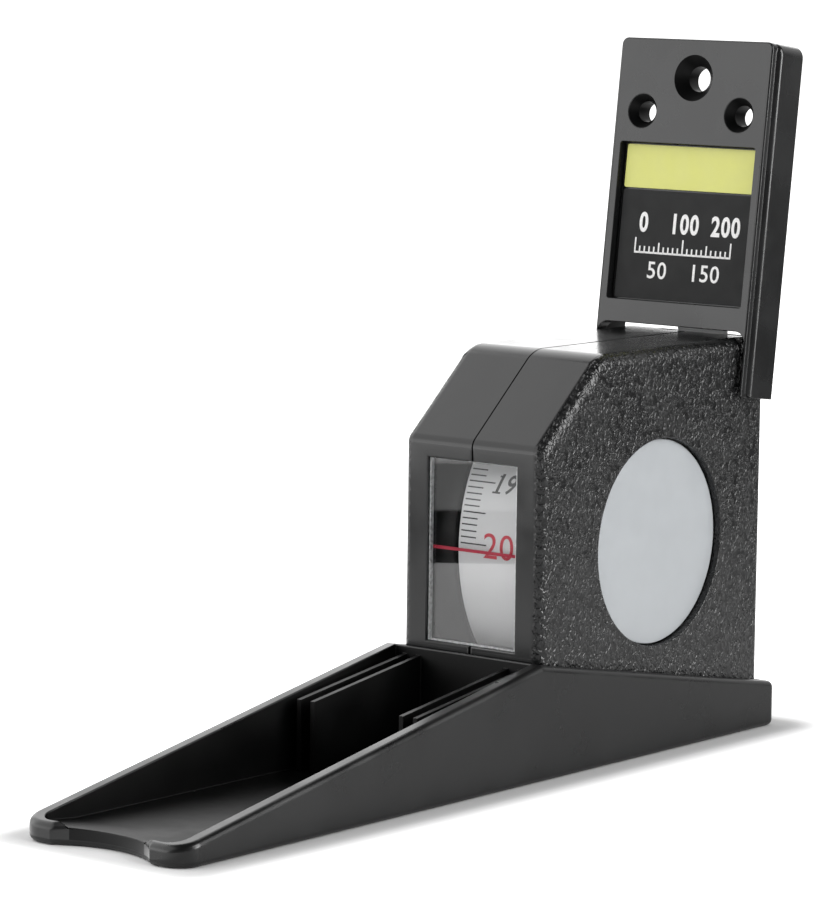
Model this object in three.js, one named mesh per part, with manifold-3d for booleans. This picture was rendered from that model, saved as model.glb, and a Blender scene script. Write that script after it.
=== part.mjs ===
// A wall-mounted roll-up height tape, standing on its head board.
// Millimetres. +X to the right, +Y back towards the wall, +Z up.
// The origin is the middle of the head board's flat underside.
import * as THREE from "three";
import { mergeVertices } from "three/addons/utils/BufferGeometryUtils.js";
import Module from "manifold-3d";

const wasm = await Module();
wasm.setup();

// Case: two half shells that meet on the middle plane
const caseWidth = 27.6;
const caseWall = 1.8;
const reelFrontGap = 1.0; // between the reel's flange and the case's front wall
const reelRearGap = 0.7;
const reelTopGap = 1.3;
const reelBottomGap = 2.4;
const caseRim = 1.8; // rounding where the sides meet the other faces
const caseFold = 2.0; // rounding of the folds seen from the side, more than the rim's
const slopeDrop = 13.6; // below the case's top, where the front face starts to lean back
const slopeRun = 15.6; // how far back the slope reaches
const partingGap = 0.2;

// Head board: the wedge-shaped dish that the case stands in
const boardLength = 146.6;
const boardWall = 1.5;
const boardFloor = 2.0;
const boardTipHeight = 3.2;
const boardPeakHeight = 18.4;
const boardHeelHeight = 7.3;
const boardRearLedge = 2.0; // how far the board reaches behind the case
const boardCornerRadius = 4.0;
const boardHeelRadius = 1.2;
const boardEdgeRadius = 0.5; // rounding along the underside
const crossWall = 1.5; // wall across the dish, in front of the case
const crossWallGap = 0.3;
const lipWidth = 1.5;
const lipFloor = 2.8; // floor height behind the front lip
const lipRamp = 8.0;
const notchWidth = 17.0; // finger notch in the front edge
const notchDepth = 3.2;
const crossWallChamfer = 0.8;
const gussetThickness = 0.8;
const gussetLength = 26.0;
const gussetInsets = [2.2, 4.9]; // from the dish's side wall
const gussetRootDrop = 1.2; // below the side wall's edge, at the cross wall
const gussetTipDrop = 0.4;
const caseSideGap = 0.25; // between the case and the board's walls
const caseSeatGap = 0.3; // between the case and the board's floor

// Window in the front face
const windowWidth = 17.5;
const windowHeight = 29.2;
const windowBelow = 14.9; // from the hairline down to the window's lower edge
const lensSink = 0.45; // lens face behind the case's front face
const lensRebate = 1.0; // depth at which the window widens for the lens flange
const lensFlange = 1.1; // how far the flange reaches past the window
const lensGap = 0.1;
const hairlineHeight = 0.5;
const hairlineThickness = 0.15;

// Reel, on a fixed arbor across the case
const tapeWidth = 15.0;
const tapeCentre = 3.0; // the tape runs a little right of the middle
const tapeThickness = 0.15;
const coilRadius = 27.4;
const coilBuild = 2.0; // layers of tape on the drum
const coilGap = 0.2; // between the coil and the drum
const drumWall = 1.6;
const flangeLip = 0.4; // the flanges stand this far past the full coil
const flangeThickness = 0.8;
const flangeGap = 0.3;
const coverThickness = 1.1;
const skirtWall = 1.2; // broad black rim of the cover, seen beside the tape
const skirtGap = 0.4; // from the rim to the case's side
const webThickness = 1.2;
const webInset = 2.5; // drum web behind the right flange's outer face
const webChamfer = 1.0;
const spigotLength = 1.4; // ring on the cover that centres it in the drum
const spigotWall = 1.0;
const arborRadius = 3.0;
const arborSlot = 0.9;
const arborSlotDepth = 4.0;
const runningGap = 0.1;
const hubRadius = 5.5;
const hubStep = 1.5; // hub stands this far in from the drum's web
const coverHubStep = 0.8;
const bossGap = 0.4; // between the case's bosses and the reel

// Return spring, a flat spiral inside the drum
const springTurns = 7;
const springThickness = 0.3;
const springInner = 3.9;
const springOuterGap = 0.7; // from the ribbon's last turn to the drum
const springSideGap = 0.4; // to the hubs on both sides

// Badge discs in round recesses, one on each side
const badgeBehind = 1.3; // badge centre behind the reel's axis
const badgeBelow = 0.4; // and below it
const badgeRecessRadius = 16.8;
const badgeRecessDepth = 1.7;
const badgeThickness = 0.4;
const badgeRimGap = 0.25;
const badgeSeatGap = 0.1;
const badgeBackWall = 1.4;

// Tape exit and its guide pin
const slotClearance = 0.7; // in front of and behind the tape
const slotEndClearance = 1.0; // past the tape's edges
const guideRadius = 1.0;
const guideGap = 0.3;
const guideDrop = 4.2; // below the case's top
const socketWall = 1.2;
const socketDepth = 1.3;
const pinEndGap = 0.3; // at both ends of the arbor and the guide pin

// Screws: four across the case and four up through the head board
const screwRadius = 1.1;
const screwHeadRadius = 2.3;
const screwHeadDepth = 1.2;
const screwGap = 0.15;
const screwSink = 0.2;
const crossLength = 3.0; // cross recess in the heads
const crossWidth = 0.85;
const crossDepth = 0.85;
const screwTipGap = 0.5;
const caseScrewLength = 21.5;
const boardScrewLength = 7.0;
const bossRadius = 2.5;
const bossReelGap = 1.0; // between the upper bosses and the reel's flanges
const upperScrewAngles = [57, 119]; // degrees round the reel's axis, from straight back
const lowerScrewInset = 5.6; // from the case's front and back faces
const lowerScrewRise = 6.3; // above the case's bottom
const boardScrewX = 8.0;
const boardScrewInsets = [9.5, 10.4]; // from the case's front and back faces
const boardBossHeight = 6.5;

// Wall bracket: a hollow-backed plate whose ears straddle the case
const bracketLean = 7.2; // degrees, backwards
const bracketSeatGap = 1.15; // from the case's top to that edge
const plateWidth = 30.4; // raised front panel
const plateHeight = 47.5;
const plateThickness = 2.5;
const plateStep = 1.2; // front panel stands this far before the rails
const railReach = 0.75; // rails stand this far outside the panel
const railThickness = 1.1;
const railRound = 0.7;
const bracketDepth = 7.7;
const bracketTopWall = 1.5;
const earLength = 10.6;
const cutoutFillet = 2.0;
const plateCorner = 1.2;
const mainHoleRadius = 2.1;
const mainSinkRadius = 3.85;
const mainSinkDepth = 1.9;
const mainHoleDrop = 6.4; // below the plate's top
const sideHoleRadius = 1.75;
const sideSinkRadius = 2.9;
const sideSinkDepth = 1.5;
const sideHoleDrop = 12.2;
const sideHoleSpacing = 19.4;
const pocketWidth = 27.1;
const pocketBottom = 3.85; // above the plate's lower edge
const pocketDrop = 17.4; // below the plate's top
const pocketDepth = 1.7;
const pocketCorner = 0.4;
const labelThickness = 0.4;
const labelGap = 0.3;
const stripHeight = 7.0;

// Tape end: a hook riveted to the tape, hung on a pin behind the plate
const pinRadius = 1.0;
const pinUp = 10.5; // above the plate's lower edge
const pinDepth = 5.5; // behind the plate's front face
const pinEndReach = 0.5; // past the lugs
const lugThickness = 1.3;
const lugRadius = 2.0;
const lugGap = 0.4; // between the lugs and the hook
const hookWidth = 10.0;
const hookWall = 0.5;
const hookLength = 7.0; // leaf below the pin
const hookGap = 0.1; // between the tape and the leaf
const rivetRadius = 0.8;
const rivetHeadRadius = 1.5;
const rivetHeadThickness = 0.5;
const rivetSpacing = 5.6;
const rivetDrop = 4.6; // below the pin
const leadBottomRise = 1.0; // the free stretch starts above the reel's axis
const leadTopGap = 0.6; // to the hook's knuckle
const leadTaper = 3.0; // length over which the tape's end narrows to the hook

// Facets
const roundSteps = 64;
const reelSteps = 48;
const turnSteps = 24; // each turn of the return spring
const smallSteps = 16;
const cornerSteps = 5;
const rimSteps = 4;
const notchSteps = 16;

// Reach of cutting shapes past the faces they cut, and of joined shapes into each other
const past = 1.0;
const sunk = 0.5;
const leastFillet = 0.3;
const everywhere = [-200, 200];

// Places worked out from the sizes above
const flangeRadius = coilRadius + flangeLip;
const drumRadius = coilRadius - coilBuild - coilGap;
const drumInnerRadius = drumRadius - drumWall;
const springOuter = drumInnerRadius - springOuterGap;
const reelY = caseWall + reelFrontGap + flangeRadius; // behind the case's front face
const caseDepth = reelY + flangeRadius + reelRearGap + caseWall;
const reelZ = boardFloor + caseSeatGap + caseWall + reelBottomGap + flangeRadius;
const caseTop = reelZ + flangeRadius + reelTopGap + caseWall;
const slopeStart = caseTop - slopeDrop;
const caseBack = boardLength / 2 - boardRearLedge;
const caseFront = caseBack - caseDepth;
const caseHalf = caseWidth / 2;
const caseBottom = boardFloor + caseSeatGap;
const dishHalf = caseHalf + caseSideGap;
const boardHalf = dishHalf + boardWall;
const boardFront = -boardLength / 2;
const boardPeakY = caseFront - crossWallGap - crossWall;
const axisY = caseFront + reelY;
const tapeLeft = tapeCentre - tapeWidth / 2;
const tapeRight = tapeCentre + tapeWidth / 2;
const coverInner = tapeLeft - flangeGap;
const coverOuter = coverInner - coverThickness;
const skirtEnd = -(caseHalf - caseWall - skirtGap);
const flangeInner = tapeRight + flangeGap;
const flangeOuter = flangeInner + flangeThickness;
const webOuter = flangeOuter - webInset;
const webInner = webOuter - webThickness;
const springLeft = coverInner + spigotLength + springSideGap;
const springRight = webInner - hubStep - springSideGap;
const recessFloor = caseHalf - badgeRecessDepth;
const recessBack = recessFloor - badgeBackWall;
const boreRadius = arborRadius + runningGap;
const windowBottom = reelZ - windowBelow;
const windowTop = windowBottom + windowHeight;
const lensBack = caseFront + caseWall;
const badgeY = axisY + badgeBehind;
const badgeZ = reelZ - badgeBelow;
const tapeFace = axisY + coilRadius; // outer face of the tape where it leaves the coil
const guideY = tapeFace - tapeThickness - guideGap - guideRadius;
const guideZ = caseTop - guideDrop;
const lean = THREE.MathUtils.degToRad(bracketLean);
const knuckleRadius = pinRadius + runningGap + hookWall;
const pinY = tapeFace + hookGap + knuckleRadius;
const footY = pinY - pinDepth * Math.cos(lean) - pinUp * Math.sin(lean);
const footZ = caseTop + bracketSeatGap;
const pinZ = footZ + pinUp * Math.cos(lean) - pinDepth * Math.sin(lean);
const hookLeft = tapeCentre - hookWidth / 2;
const hookRight = tapeCentre + hookWidth / 2;
const railHalf = plateWidth / 2 + railReach;
const railInner = railHalf - railThickness;
const mainHoleUp = plateHeight - mainHoleDrop;
const sideHoleUp = plateHeight - sideHoleDrop;
const pocketTop = plateHeight - pocketDrop;

// Materials
function finish(color, roughness, metalness = 0) {
  return new THREE.MeshStandardMaterial({ color, roughness, metalness });
}
const blackShell = finish(0x2c2d2f, 0.45);
const blackBoard = finish(0x262628, 0.4);
const clearLens = finish(0xd8dee0, 0.08);
clearLens.transparent = true;
clearLens.opacity = 0.3;
const crimson = finish(0xb01c3a, 0.5);
const paleGrey = finish(0xc3c8cb, 0.45);
const yellow = finish(0xd2d36c, 0.5);
const labelBlack = finish(0x232324, 0.55);
const whiteTape = finish(0xe8e8e4, 0.5);
const nylon = finish(0xc9c9c2, 0.5);
const steel = finish(0x9a9da1, 0.35, 1);
const springSteel = finish(0x5d6166, 0.4, 1);

// Solid helpers
function signedVolume(positions, triangles) {
  const a = new THREE.Vector3();
  const b = new THREE.Vector3();
  const c = new THREE.Vector3();
  let volume = 0;
  for (let i = 0; i < triangles.length; i += 3) {
    a.fromArray(positions, triangles[i] * 3);
    b.fromArray(positions, triangles[i + 1] * 3);
    c.fromArray(positions, triangles[i + 2] * 3);
    volume += a.dot(b.cross(c)) / 6;
  }
  return volume;
}

// Closed solid with its faces pointing out, from any closed three.js geometry
function solid(geometry) {
  const bare = geometry.clone();
  bare.deleteAttribute("normal");
  bare.deleteAttribute("uv");
  const merged = mergeVertices(bare, 1e-4);
  const positions = Float32Array.from(merged.attributes.position.array);
  const corners = merged.index.array;
  const triangles = [];
  for (let i = 0; i < corners.length; i += 3) {
    const [p, q, r] = [corners[i], corners[i + 1], corners[i + 2]];
    if (p !== q && q !== r && r !== p) triangles.push(p, q, r);
  }
  if (signedVolume(positions, triangles) < 0) triangles.reverse();
  const mesh = new wasm.Mesh({
    numProp: 3,
    vertProperties: positions,
    triVerts: Uint32Array.from(triangles),
  });
  return new wasm.Manifold(mesh);
}

// Outline with rounded corners, each given as [across, up, radius]
function outline(corners, steps = cornerSteps) {
  const points = [];
  const at = (i) => new THREE.Vector2(...corners.at(i % corners.length).slice(0, 2));
  corners.forEach(([x, y, radius = 0], i) => {
    const here = new THREE.Vector2(x, y);
    if (radius === 0) {
      points.push(here);
      return;
    }
    const back = at(i - 1).sub(here).normalize();
    const ahead = at(i + 1).sub(here).normalize();
    const half = Math.acos(THREE.MathUtils.clamp(back.dot(ahead), -1, 1)) / 2;
    const centre = back.clone().add(ahead).normalize().multiplyScalar(radius / Math.sin(half)).add(here);
    const from = back.clone().multiplyScalar(radius / Math.tan(half)).add(here).sub(centre);
    const turn = (Math.PI - 2 * half) * Math.sign(-back.cross(ahead));
    for (let step = 0; step <= steps; step += 1) {
      const spoke = from.clone().rotateAround(new THREE.Vector2(), (turn * step) / steps);
      points.push(spoke.add(centre));
    }
  });
  return points;
}

// A convex outline's corners, drawn in by a wall
function inset(corners, wall) {
  return corners.map(([x, y, radius = 0], i) => {
    const here = new THREE.Vector2(x, y);
    const before = new THREE.Vector2(...corners.at(i - 1).slice(0, 2));
    const after = new THREE.Vector2(...corners.at((i + 1) % corners.length).slice(0, 2));
    const back = before.sub(here).normalize();
    const ahead = after.sub(here).normalize();
    const half = Math.acos(back.dot(ahead)) / 2;
    const move = back.add(ahead).normalize().multiplyScalar(wall / Math.sin(half));
    return [x + move.x, y + move.y, Math.max(radius - wall, leastFillet)];
  });
}

function rectangle(left, right, bottom, top, radius = 0) {
  const corners = [[left, bottom], [right, bottom], [right, top], [left, top]];
  return outline(corners.map(([x, y]) => [x, y, radius]));
}

function circle(radius, x = 0, y = 0, steps = roundSteps) {
  return Array.from({ length: steps }, (_, i) => {
    const angle = (2 * Math.PI * i) / steps;
    return new THREE.Vector2(x + radius * Math.cos(angle), y + radius * Math.sin(angle));
  });
}

function extrusion(points, depth, round = 0) {
  return new THREE.ExtrudeGeometry(new THREE.Shape(points), {
    depth: depth - 2 * round,
    bevelEnabled: round > 0,
    bevelThickness: round,
    bevelSize: round,
    bevelOffset: -round,
    bevelSegments: rimSteps,
  }).translate(0, 0, round);
}

// Prisms along the three axes: outlines in (y, z), (x, z) and (x, y)
const ontoX = new THREE.Matrix4().set(0, 0, 1, 0, 1, 0, 0, 0, 0, 1, 0, 0, 0, 0, 0, 1);
const ontoY = new THREE.Matrix4().set(1, 0, 0, 0, 0, 0, -1, 0, 0, 1, 0, 0, 0, 0, 0, 1);
function alongX(points, from, to, round = 0) {
  return solid(extrusion(points, to - from, round).applyMatrix4(ontoX).translate(from, 0, 0));
}
function alongY(points, from, to, round = 0) {
  return solid(extrusion(points, to - from, round).applyMatrix4(ontoY).translate(0, to, 0));
}
function alongZ(points, from, to, round = 0) {
  return solid(extrusion(points, to - from, round).translate(0, 0, from));
}
function block(x, y, z) {
  return alongZ(rectangle(x[0], x[1], y[0], y[1]), z[0], z[1]);
}

// Turned solids: profile points are [radius, distance along the axis]
const latheOntoX = new THREE.Matrix4().set(0, 1, 0, 0, 0, 0, 1, 0, 1, 0, 0, 0, 0, 0, 0, 1);
const latheOntoZ = new THREE.Matrix4().makeRotationX(Math.PI / 2);
function lathe(profile, steps) {
  return new THREE.LatheGeometry(profile.map(([r, along]) => new THREE.Vector2(r, along)), steps);
}
function turnedX(profile, y, z, steps = roundSteps) {
  return solid(lathe(profile, steps).applyMatrix4(latheOntoX).translate(0, y, z));
}
function turnedZ(profile, x, y, steps = smallSteps) {
  return solid(lathe(profile, steps).applyMatrix4(latheOntoZ).translate(x, y, 0));
}
function rodX(radius, from, to, y, z, steps = smallSteps) {
  return turnedX([[0, from], [radius, from], [radius, to], [0, to]], y, z, steps);
}
function rodZ(radius, from, to, x, y, steps = smallSteps) {
  return turnedZ([[0, from], [radius, from], [radius, to], [0, to]], x, y, steps);
}

// Named pieces in a group
const group = new THREE.Group();
const bracket = new THREE.Group();
bracket.position.set(0, footY, footZ);
bracket.rotation.x = -lean;
group.add(bracket);
function piece(name, shape, material, parent = group) {
  const { vertProperties, triVerts } = shape.getMesh();
  const geometry = new THREE.BufferGeometry();
  geometry.setAttribute("position", new THREE.BufferAttribute(vertProperties, 3));
  geometry.setIndex(new THREE.BufferAttribute(triVerts, 1));
  geometry.computeVertexNormals();
  const mesh = new THREE.Mesh(geometry, material);
  mesh.name = name;
  parent.add(mesh);
}

// Screw places: upper case screws round the reel, lower ones in the corners
const bossCircle = flangeRadius + bossRadius + bossReelGap;
const lowerScrewZ = caseBottom + lowerScrewRise;
const caseScrewPlaces = [
  [caseFront + lowerScrewInset, lowerScrewZ],
  [caseBack - lowerScrewInset, lowerScrewZ],
  ...upperScrewAngles.map((degrees) => {
    const angle = THREE.MathUtils.degToRad(degrees);
    return [axisY + bossCircle * Math.cos(angle), reelZ + bossCircle * Math.sin(angle)];
  }),
];
const boardScrewYs = [caseFront + boardScrewInsets[0], caseBack - boardScrewInsets[1]];

// Head board
function boardEdgeZ(y) {
  const rise = (boardPeakHeight - boardTipHeight) / (boardPeakY - boardFront);
  return boardTipHeight + (y - boardFront) * rise;
}

function headBoard() {
  const rear = boardLength / 2;
  const notch = [];
  for (let i = 0; i <= notchSteps; i += 1) {
    const across = (i / notchSteps - 0.5) * notchWidth;
    const bite = (notchDepth / 2) * (1 + Math.cos((2 * Math.PI * across) / notchWidth));
    notch.push([across, boardFront + bite]);
  }
  const plan = outline([
    [-boardHalf, boardFront, boardCornerRadius],
    ...notch,
    [boardHalf, boardFront, boardCornerRadius],
    [boardHalf, rear, boardHeelRadius],
    [-boardHalf, rear, boardHeelRadius],
  ]);
  const side = outline([
    [boardFront, -past],
    [rear, -past],
    [rear, boardHeelHeight, boardHeelRadius],
    [boardPeakY, boardPeakHeight, boardHeelRadius],
    [boardFront, boardTipHeight, boardHeelRadius],
  ]);
  const above = boardPeakHeight + 2 * past;
  const wedge = alongZ(plan, 0, above, boardEdgeRadius)
    .intersect(alongX(side, -boardHalf - past, boardHalf + past));

  const innerFront = boardFront + lipWidth;
  const innerCorner = boardCornerRadius - boardWall;
  const dishPlan = alongZ(outline([
    [-dishHalf, innerFront, innerCorner],
    [dishHalf, innerFront, innerCorner],
    [dishHalf, boardPeakY],
    [-dishHalf, boardPeakY],
  ]), 0, above);
  const dishSide = alongX(outline([
    [boardFront - past, lipFloor],
    [innerFront, lipFloor],
    [innerFront + lipRamp, boardFloor],
    [boardPeakY + past, boardFloor],
    [boardPeakY + past, above],
    [boardFront - past, above],
  ]), -boardHalf, boardHalf);
  const well = block(
    [-dishHalf, dishHalf],
    [caseFront - crossWallGap, caseBack + crossWallGap],
    [boardFloor, above],
  );
  let board = wedge.subtract(dishPlan.intersect(dishSide)).subtract(well);

  const gussetTip = boardPeakY - gussetLength;
  const gussetOutline = outline([
    [gussetTip, boardFloor - sunk],
    [boardPeakY + crossWall / 2, boardFloor - sunk],
    [boardPeakY + crossWall / 2, boardEdgeZ(boardPeakY) - gussetRootDrop],
    [gussetTip, boardEdgeZ(gussetTip) - gussetTipDrop],
  ]);
  for (const side of [-1, 1]) {
    for (const fromWall of gussetInsets) {
      const middle = side * (dishHalf - fromWall - gussetThickness / 2);
      board = board.add(alongX(gussetOutline, middle - gussetThickness / 2, middle + gussetThickness / 2));
    }
  }
  board = board.subtract(alongX(outline([
    [boardPeakY - leastFillet, boardPeakHeight - crossWallChamfer],
    [boardPeakY, boardPeakHeight - crossWallChamfer],
    [boardPeakY + crossWallChamfer, boardPeakHeight],
    [boardPeakY + crossWallChamfer, boardPeakHeight + past],
    [boardPeakY - leastFillet, boardPeakHeight + past],
  ]), -dishHalf, dishHalf));
  for (const y of boardScrewYs) {
    for (const x of [-boardScrewX, boardScrewX]) {
      board = board.subtract(turnedZ([
        [0, -past],
        [screwHeadRadius + screwGap, -past],
        [screwHeadRadius + screwGap, screwSink],
        [screwRadius + screwGap, screwSink + screwHeadDepth],
        [screwRadius + screwGap, boardFloor + past],
        [0, boardFloor + past],
      ], x, y));
    }
  }
  return board;
}
piece("head_board", headBoard(), blackBoard);

// Case shells
const caseCorners = [
  [caseFront, caseBottom, caseFold],
  [caseBack, caseBottom, caseFold],
  [caseBack, caseTop, caseFold],
  [caseFront + slopeRun, caseTop, caseFold],
  [caseFront, slopeStart, caseFold],
];

function wholeCase() {
  const outer = alongX(outline(caseCorners), -caseHalf, caseHalf, caseRim);
  const inner = alongX(outline(inset(caseCorners, caseWall)), -caseHalf + caseWall, caseHalf - caseWall);
  let shell = outer.subtract(inner);
  for (const sign of [-1, 1]) {
    const at = (x) => sign * x;
    const span = (a, b) => [Math.min(at(a), at(b)), Math.max(at(a), at(b))];
    const recessWall = rodX(
      badgeRecessRadius + badgeBackWall,
      ...span(recessBack, caseHalf - caseWall / 2),
      badgeY,
      badgeZ,
      roundSteps,
    );
    const recess = rodX(badgeRecessRadius, ...span(recessFloor, caseHalf + past), badgeY, badgeZ, roundSteps);
    shell = shell.add(recessWall.intersect(outer)).subtract(recess);
    const bossTip = sign < 0 ? coverOuter - bossGap : webOuter + bossGap;
    const arborBoss = rodX(hubRadius, ...span(Math.abs(bossTip), recessBack + sunk), axisY, reelZ);
    const arborBore = rodX(boreRadius, ...span(Math.abs(bossTip) - past, recessBack), axisY, reelZ);
    shell = shell.add(arborBoss).subtract(arborBore);
    const guideWall = caseHalf - caseWall;
    const guideSpan = span(guideWall - socketDepth, guideWall + sunk);
    const guideBoss = rodX(guideRadius + socketWall, ...guideSpan, guideY, guideZ);
    const guideBore = rodX(guideRadius + runningGap, ...span(0, guideWall), guideY, guideZ);
    shell = shell.add(guideBoss.intersect(outer)).subtract(guideBore);
    for (const y of boardScrewYs) {
      const boss = rodZ(bossRadius, caseBottom, caseBottom + boardBossHeight, at(boardScrewX), y);
      const pilot = rodZ(screwRadius + screwGap, 0, boardScrewLength + past, at(boardScrewX), y);
      shell = shell.add(boss.intersect(outer)).subtract(pilot);
    }
  }
  for (const [y, z] of caseScrewPlaces) {
    const tube = rodX(bossRadius, -caseHalf + past, caseHalf - past, y, z);
    shell = shell.add(tube.intersect(outer)).subtract(caseScrewHole(y, z));
  }
  const opening = block(
    [-windowWidth / 2, windowWidth / 2],
    [caseFront - past, lensBack + sunk],
    [windowBottom, windowTop],
  );
  const rebate = block(
    [-windowWidth / 2 - lensFlange, windowWidth / 2 + lensFlange],
    [caseFront + lensRebate, lensBack + sunk],
    [windowBottom - lensFlange, windowTop + lensFlange],
  );
  const slot = block(
    [tapeLeft - slotEndClearance, tapeRight + slotEndClearance],
    [tapeFace - tapeThickness - slotClearance, tapeFace + slotClearance],
    [guideZ, caseTop + past],
  );
  return shell.subtract(opening).subtract(rebate).subtract(slot);
}

function caseScrewHole(y, z) {
  const head = -caseHalf + screwSink;
  return turnedX([
    [0, -caseHalf - past],
    [screwHeadRadius + screwGap, -caseHalf - past],
    [screwHeadRadius + screwGap, head],
    [screwRadius + screwGap, head + screwHeadDepth],
    [screwRadius + screwGap, head + caseScrewLength + screwTipGap],
    [0, head + caseScrewLength + screwTipGap],
  ], y, z, smallSteps);
}

const shell = wholeCase();
const leftSide = block([everywhere[0], -partingGap / 2], everywhere, everywhere);
const rightSide = block([partingGap / 2, everywhere[1]], everywhere, everywhere);
piece("case_left", shell.intersect(leftSide), blackShell);
piece("case_right", shell.intersect(rightSide), blackShell);

// Window lens and the hairline on its back
function lens() {
  const half = windowWidth / 2;
  const face = block(
    [-half + lensGap, half - lensGap],
    [caseFront + lensSink, lensBack],
    [windowBottom + lensGap, windowTop - lensGap],
  );
  const reach = lensFlange - lensGap;
  const flange = block(
    [-half - reach, half + reach],
    [caseFront + lensRebate + lensGap, lensBack],
    [windowBottom - reach, windowTop + reach],
  );
  return face.add(flange);
}
piece("window_lens", lens(), clearLens);
const hairlineHalf = windowWidth / 2 - lensGap;
const hairlineFront = lensBack + lensGap / 2;
piece("hairline", block(
  [-hairlineHalf, hairlineHalf],
  [hairlineFront, hairlineFront + hairlineThickness],
  [reelZ - hairlineHeight / 2, reelZ + hairlineHeight / 2],
), crimson);

// Badge discs
for (const [name, sign] of [["badge_left", -1], ["badge_right", 1]]) {
  const back = recessFloor + badgeSeatGap;
  const ends = [sign * back, sign * (back + badgeThickness)].sort((a, b) => a - b);
  piece(name, rodX(badgeRecessRadius - badgeRimGap, ...ends, badgeY, badgeZ, roundSteps), paleGrey);
}

// Arbor with its spring slot, and the tape's guide pin
const arborEnd = recessBack - pinEndGap;
const arbor = rodX(arborRadius, -arborEnd, arborEnd, axisY, reelZ).subtract(block(
  [springLeft - past, springRight + past],
  [axisY + arborRadius - arborSlotDepth, axisY + arborRadius + past],
  [reelZ - arborSlot / 2, reelZ + arborSlot / 2],
));
piece("arbor", arbor, steel);
const guideEnd = caseHalf - caseWall - pinEndGap;
piece("guide_pin", rodX(guideRadius, -guideEnd, guideEnd, guideY, guideZ), steel);

// Reel: a drum with its right flange, and a cup-shaped cover that is the left flange
piece("reel_drum", turnedX([
  [boreRadius, webInner - hubStep],
  [hubRadius, webInner - hubStep],
  [hubRadius, webInner],
  [drumInnerRadius, webInner],
  [drumInnerRadius, coverInner + runningGap],
  [drumRadius, coverInner + runningGap],
  [drumRadius, flangeInner],
  [flangeRadius, flangeInner],
  [flangeRadius, flangeOuter],
  [drumInnerRadius, flangeOuter],
  [drumInnerRadius - webChamfer, webOuter],
  [boreRadius, webOuter],
  [boreRadius, webInner - hubStep],
], axisY, reelZ, reelSteps), nylon);
const spigotOuter = drumInnerRadius - 2 * runningGap;
piece("reel_cover", turnedX([
  [boreRadius, coverOuter],
  [flangeRadius - skirtWall, coverOuter],
  [flangeRadius - skirtWall, skirtEnd],
  [flangeRadius, skirtEnd],
  [flangeRadius, coverInner],
  [spigotOuter, coverInner],
  [spigotOuter, coverInner + spigotLength],
  [spigotOuter - spigotWall, coverInner + spigotLength],
  [spigotOuter - spigotWall, coverInner],
  [hubRadius, coverInner],
  [hubRadius, coverInner + coverHubStep],
  [boreRadius, coverInner + coverHubStep],
  [boreRadius, coverOuter],
], axisY, reelZ, reelSteps), blackBoard);

// Tape on the drum: the outer layer winds down onto a plain core
function coil() {
  const rim = [];
  for (let i = 0; i <= roundSteps; i += 1) {
    const angle = (2 * Math.PI * i) / roundSteps;
    const radius = coilRadius - (tapeThickness * (roundSteps - i)) / roundSteps;
    rim.push(new THREE.Vector2(axisY + radius * Math.cos(angle), reelZ + radius * Math.sin(angle)));
  }
  const core = rodX(drumRadius + coilGap, tapeLeft - past, tapeRight + past, axisY, reelZ, roundSteps);
  return alongX(rim, tapeLeft, tapeRight).subtract(core);
}
piece("tape_coil", coil(), whiteTape);

// Return spring: an unbroken spiral ribbon, its inner end in the arbor's slot
function spring() {
  const outerEdge = [];
  const innerEdge = [];
  const steps = springTurns * turnSteps;
  for (let i = 0; i <= steps; i += 1) {
    const angle = (2 * Math.PI * i) / turnSteps;
    const middle = springInner + ((springOuter - springInner) * i) / steps;
    const spoke = new THREE.Vector2(Math.cos(angle), Math.sin(angle));
    const centre = new THREE.Vector2(axisY, reelZ);
    outerEdge.push(spoke.clone().multiplyScalar(middle + springThickness / 2).add(centre));
    innerEdge.push(spoke.clone().multiplyScalar(middle - springThickness / 2).add(centre));
  }
  const tab = block(
    [springLeft, springRight],
    [axisY, axisY + springInner + springThickness / 2],
    [reelZ - springThickness / 2, reelZ + springThickness / 2],
  );
  const ribbon = alongX([...outerEdge, ...innerEdge.reverse()], springLeft, springRight);
  const gap = (springOuter - springInner) / springTurns - springThickness;
  console.log(`return_spring: least gap between turns ${gap.toFixed(2)} mm`);
  return ribbon.add(tab);
}
piece("return_spring", spring(), springSteel);

// Screws with a cross recess
function crossRecess(head) {
  const arm = crossLength / 2;
  const slim = crossWidth / 2;
  return [[arm, slim], [slim, arm]].map(([a, b]) => [[-a, a], [-b, b], [head - past, head + crossDepth]]);
}
function screwProfile(tip, head) {
  const reach = Math.sign(tip - head);
  return [
    [0, head],
    [screwHeadRadius, head],
    [screwRadius, head + reach * screwHeadDepth],
    [screwRadius, tip - reach * screwRadius],
    [0, tip],
  ];
}
function caseScrew(y, z) {
  const head = -caseHalf + screwSink;
  let screw = turnedX(screwProfile(head + caseScrewLength, head), y, z, smallSteps);
  for (const [a, b, depth] of crossRecess(head)) {
    screw = screw.subtract(block(depth, a.map((v) => y + v), b.map((v) => z + v)));
  }
  return screw;
}
function boardScrew(x, y) {
  let screw = turnedZ(screwProfile(boardScrewLength, screwSink), x, y);
  for (const [a, b, depth] of crossRecess(screwSink)) {
    screw = screw.subtract(block(a.map((v) => x + v), b.map((v) => y + v), depth));
  }
  return screw;
}
caseScrewPlaces.forEach(([y, z], i) => {
  piece(`case_screw_${i + 1}`, caseScrew(y, z), steel);
});
boardScrewYs.forEach((y, i) => {
  piece(`board_screw_left_${i + 1}`, boardScrew(-boardScrewX, y), steel);
  piece(`board_screw_right_${i + 1}`, boardScrew(boardScrewX, y), steel);
});

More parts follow.
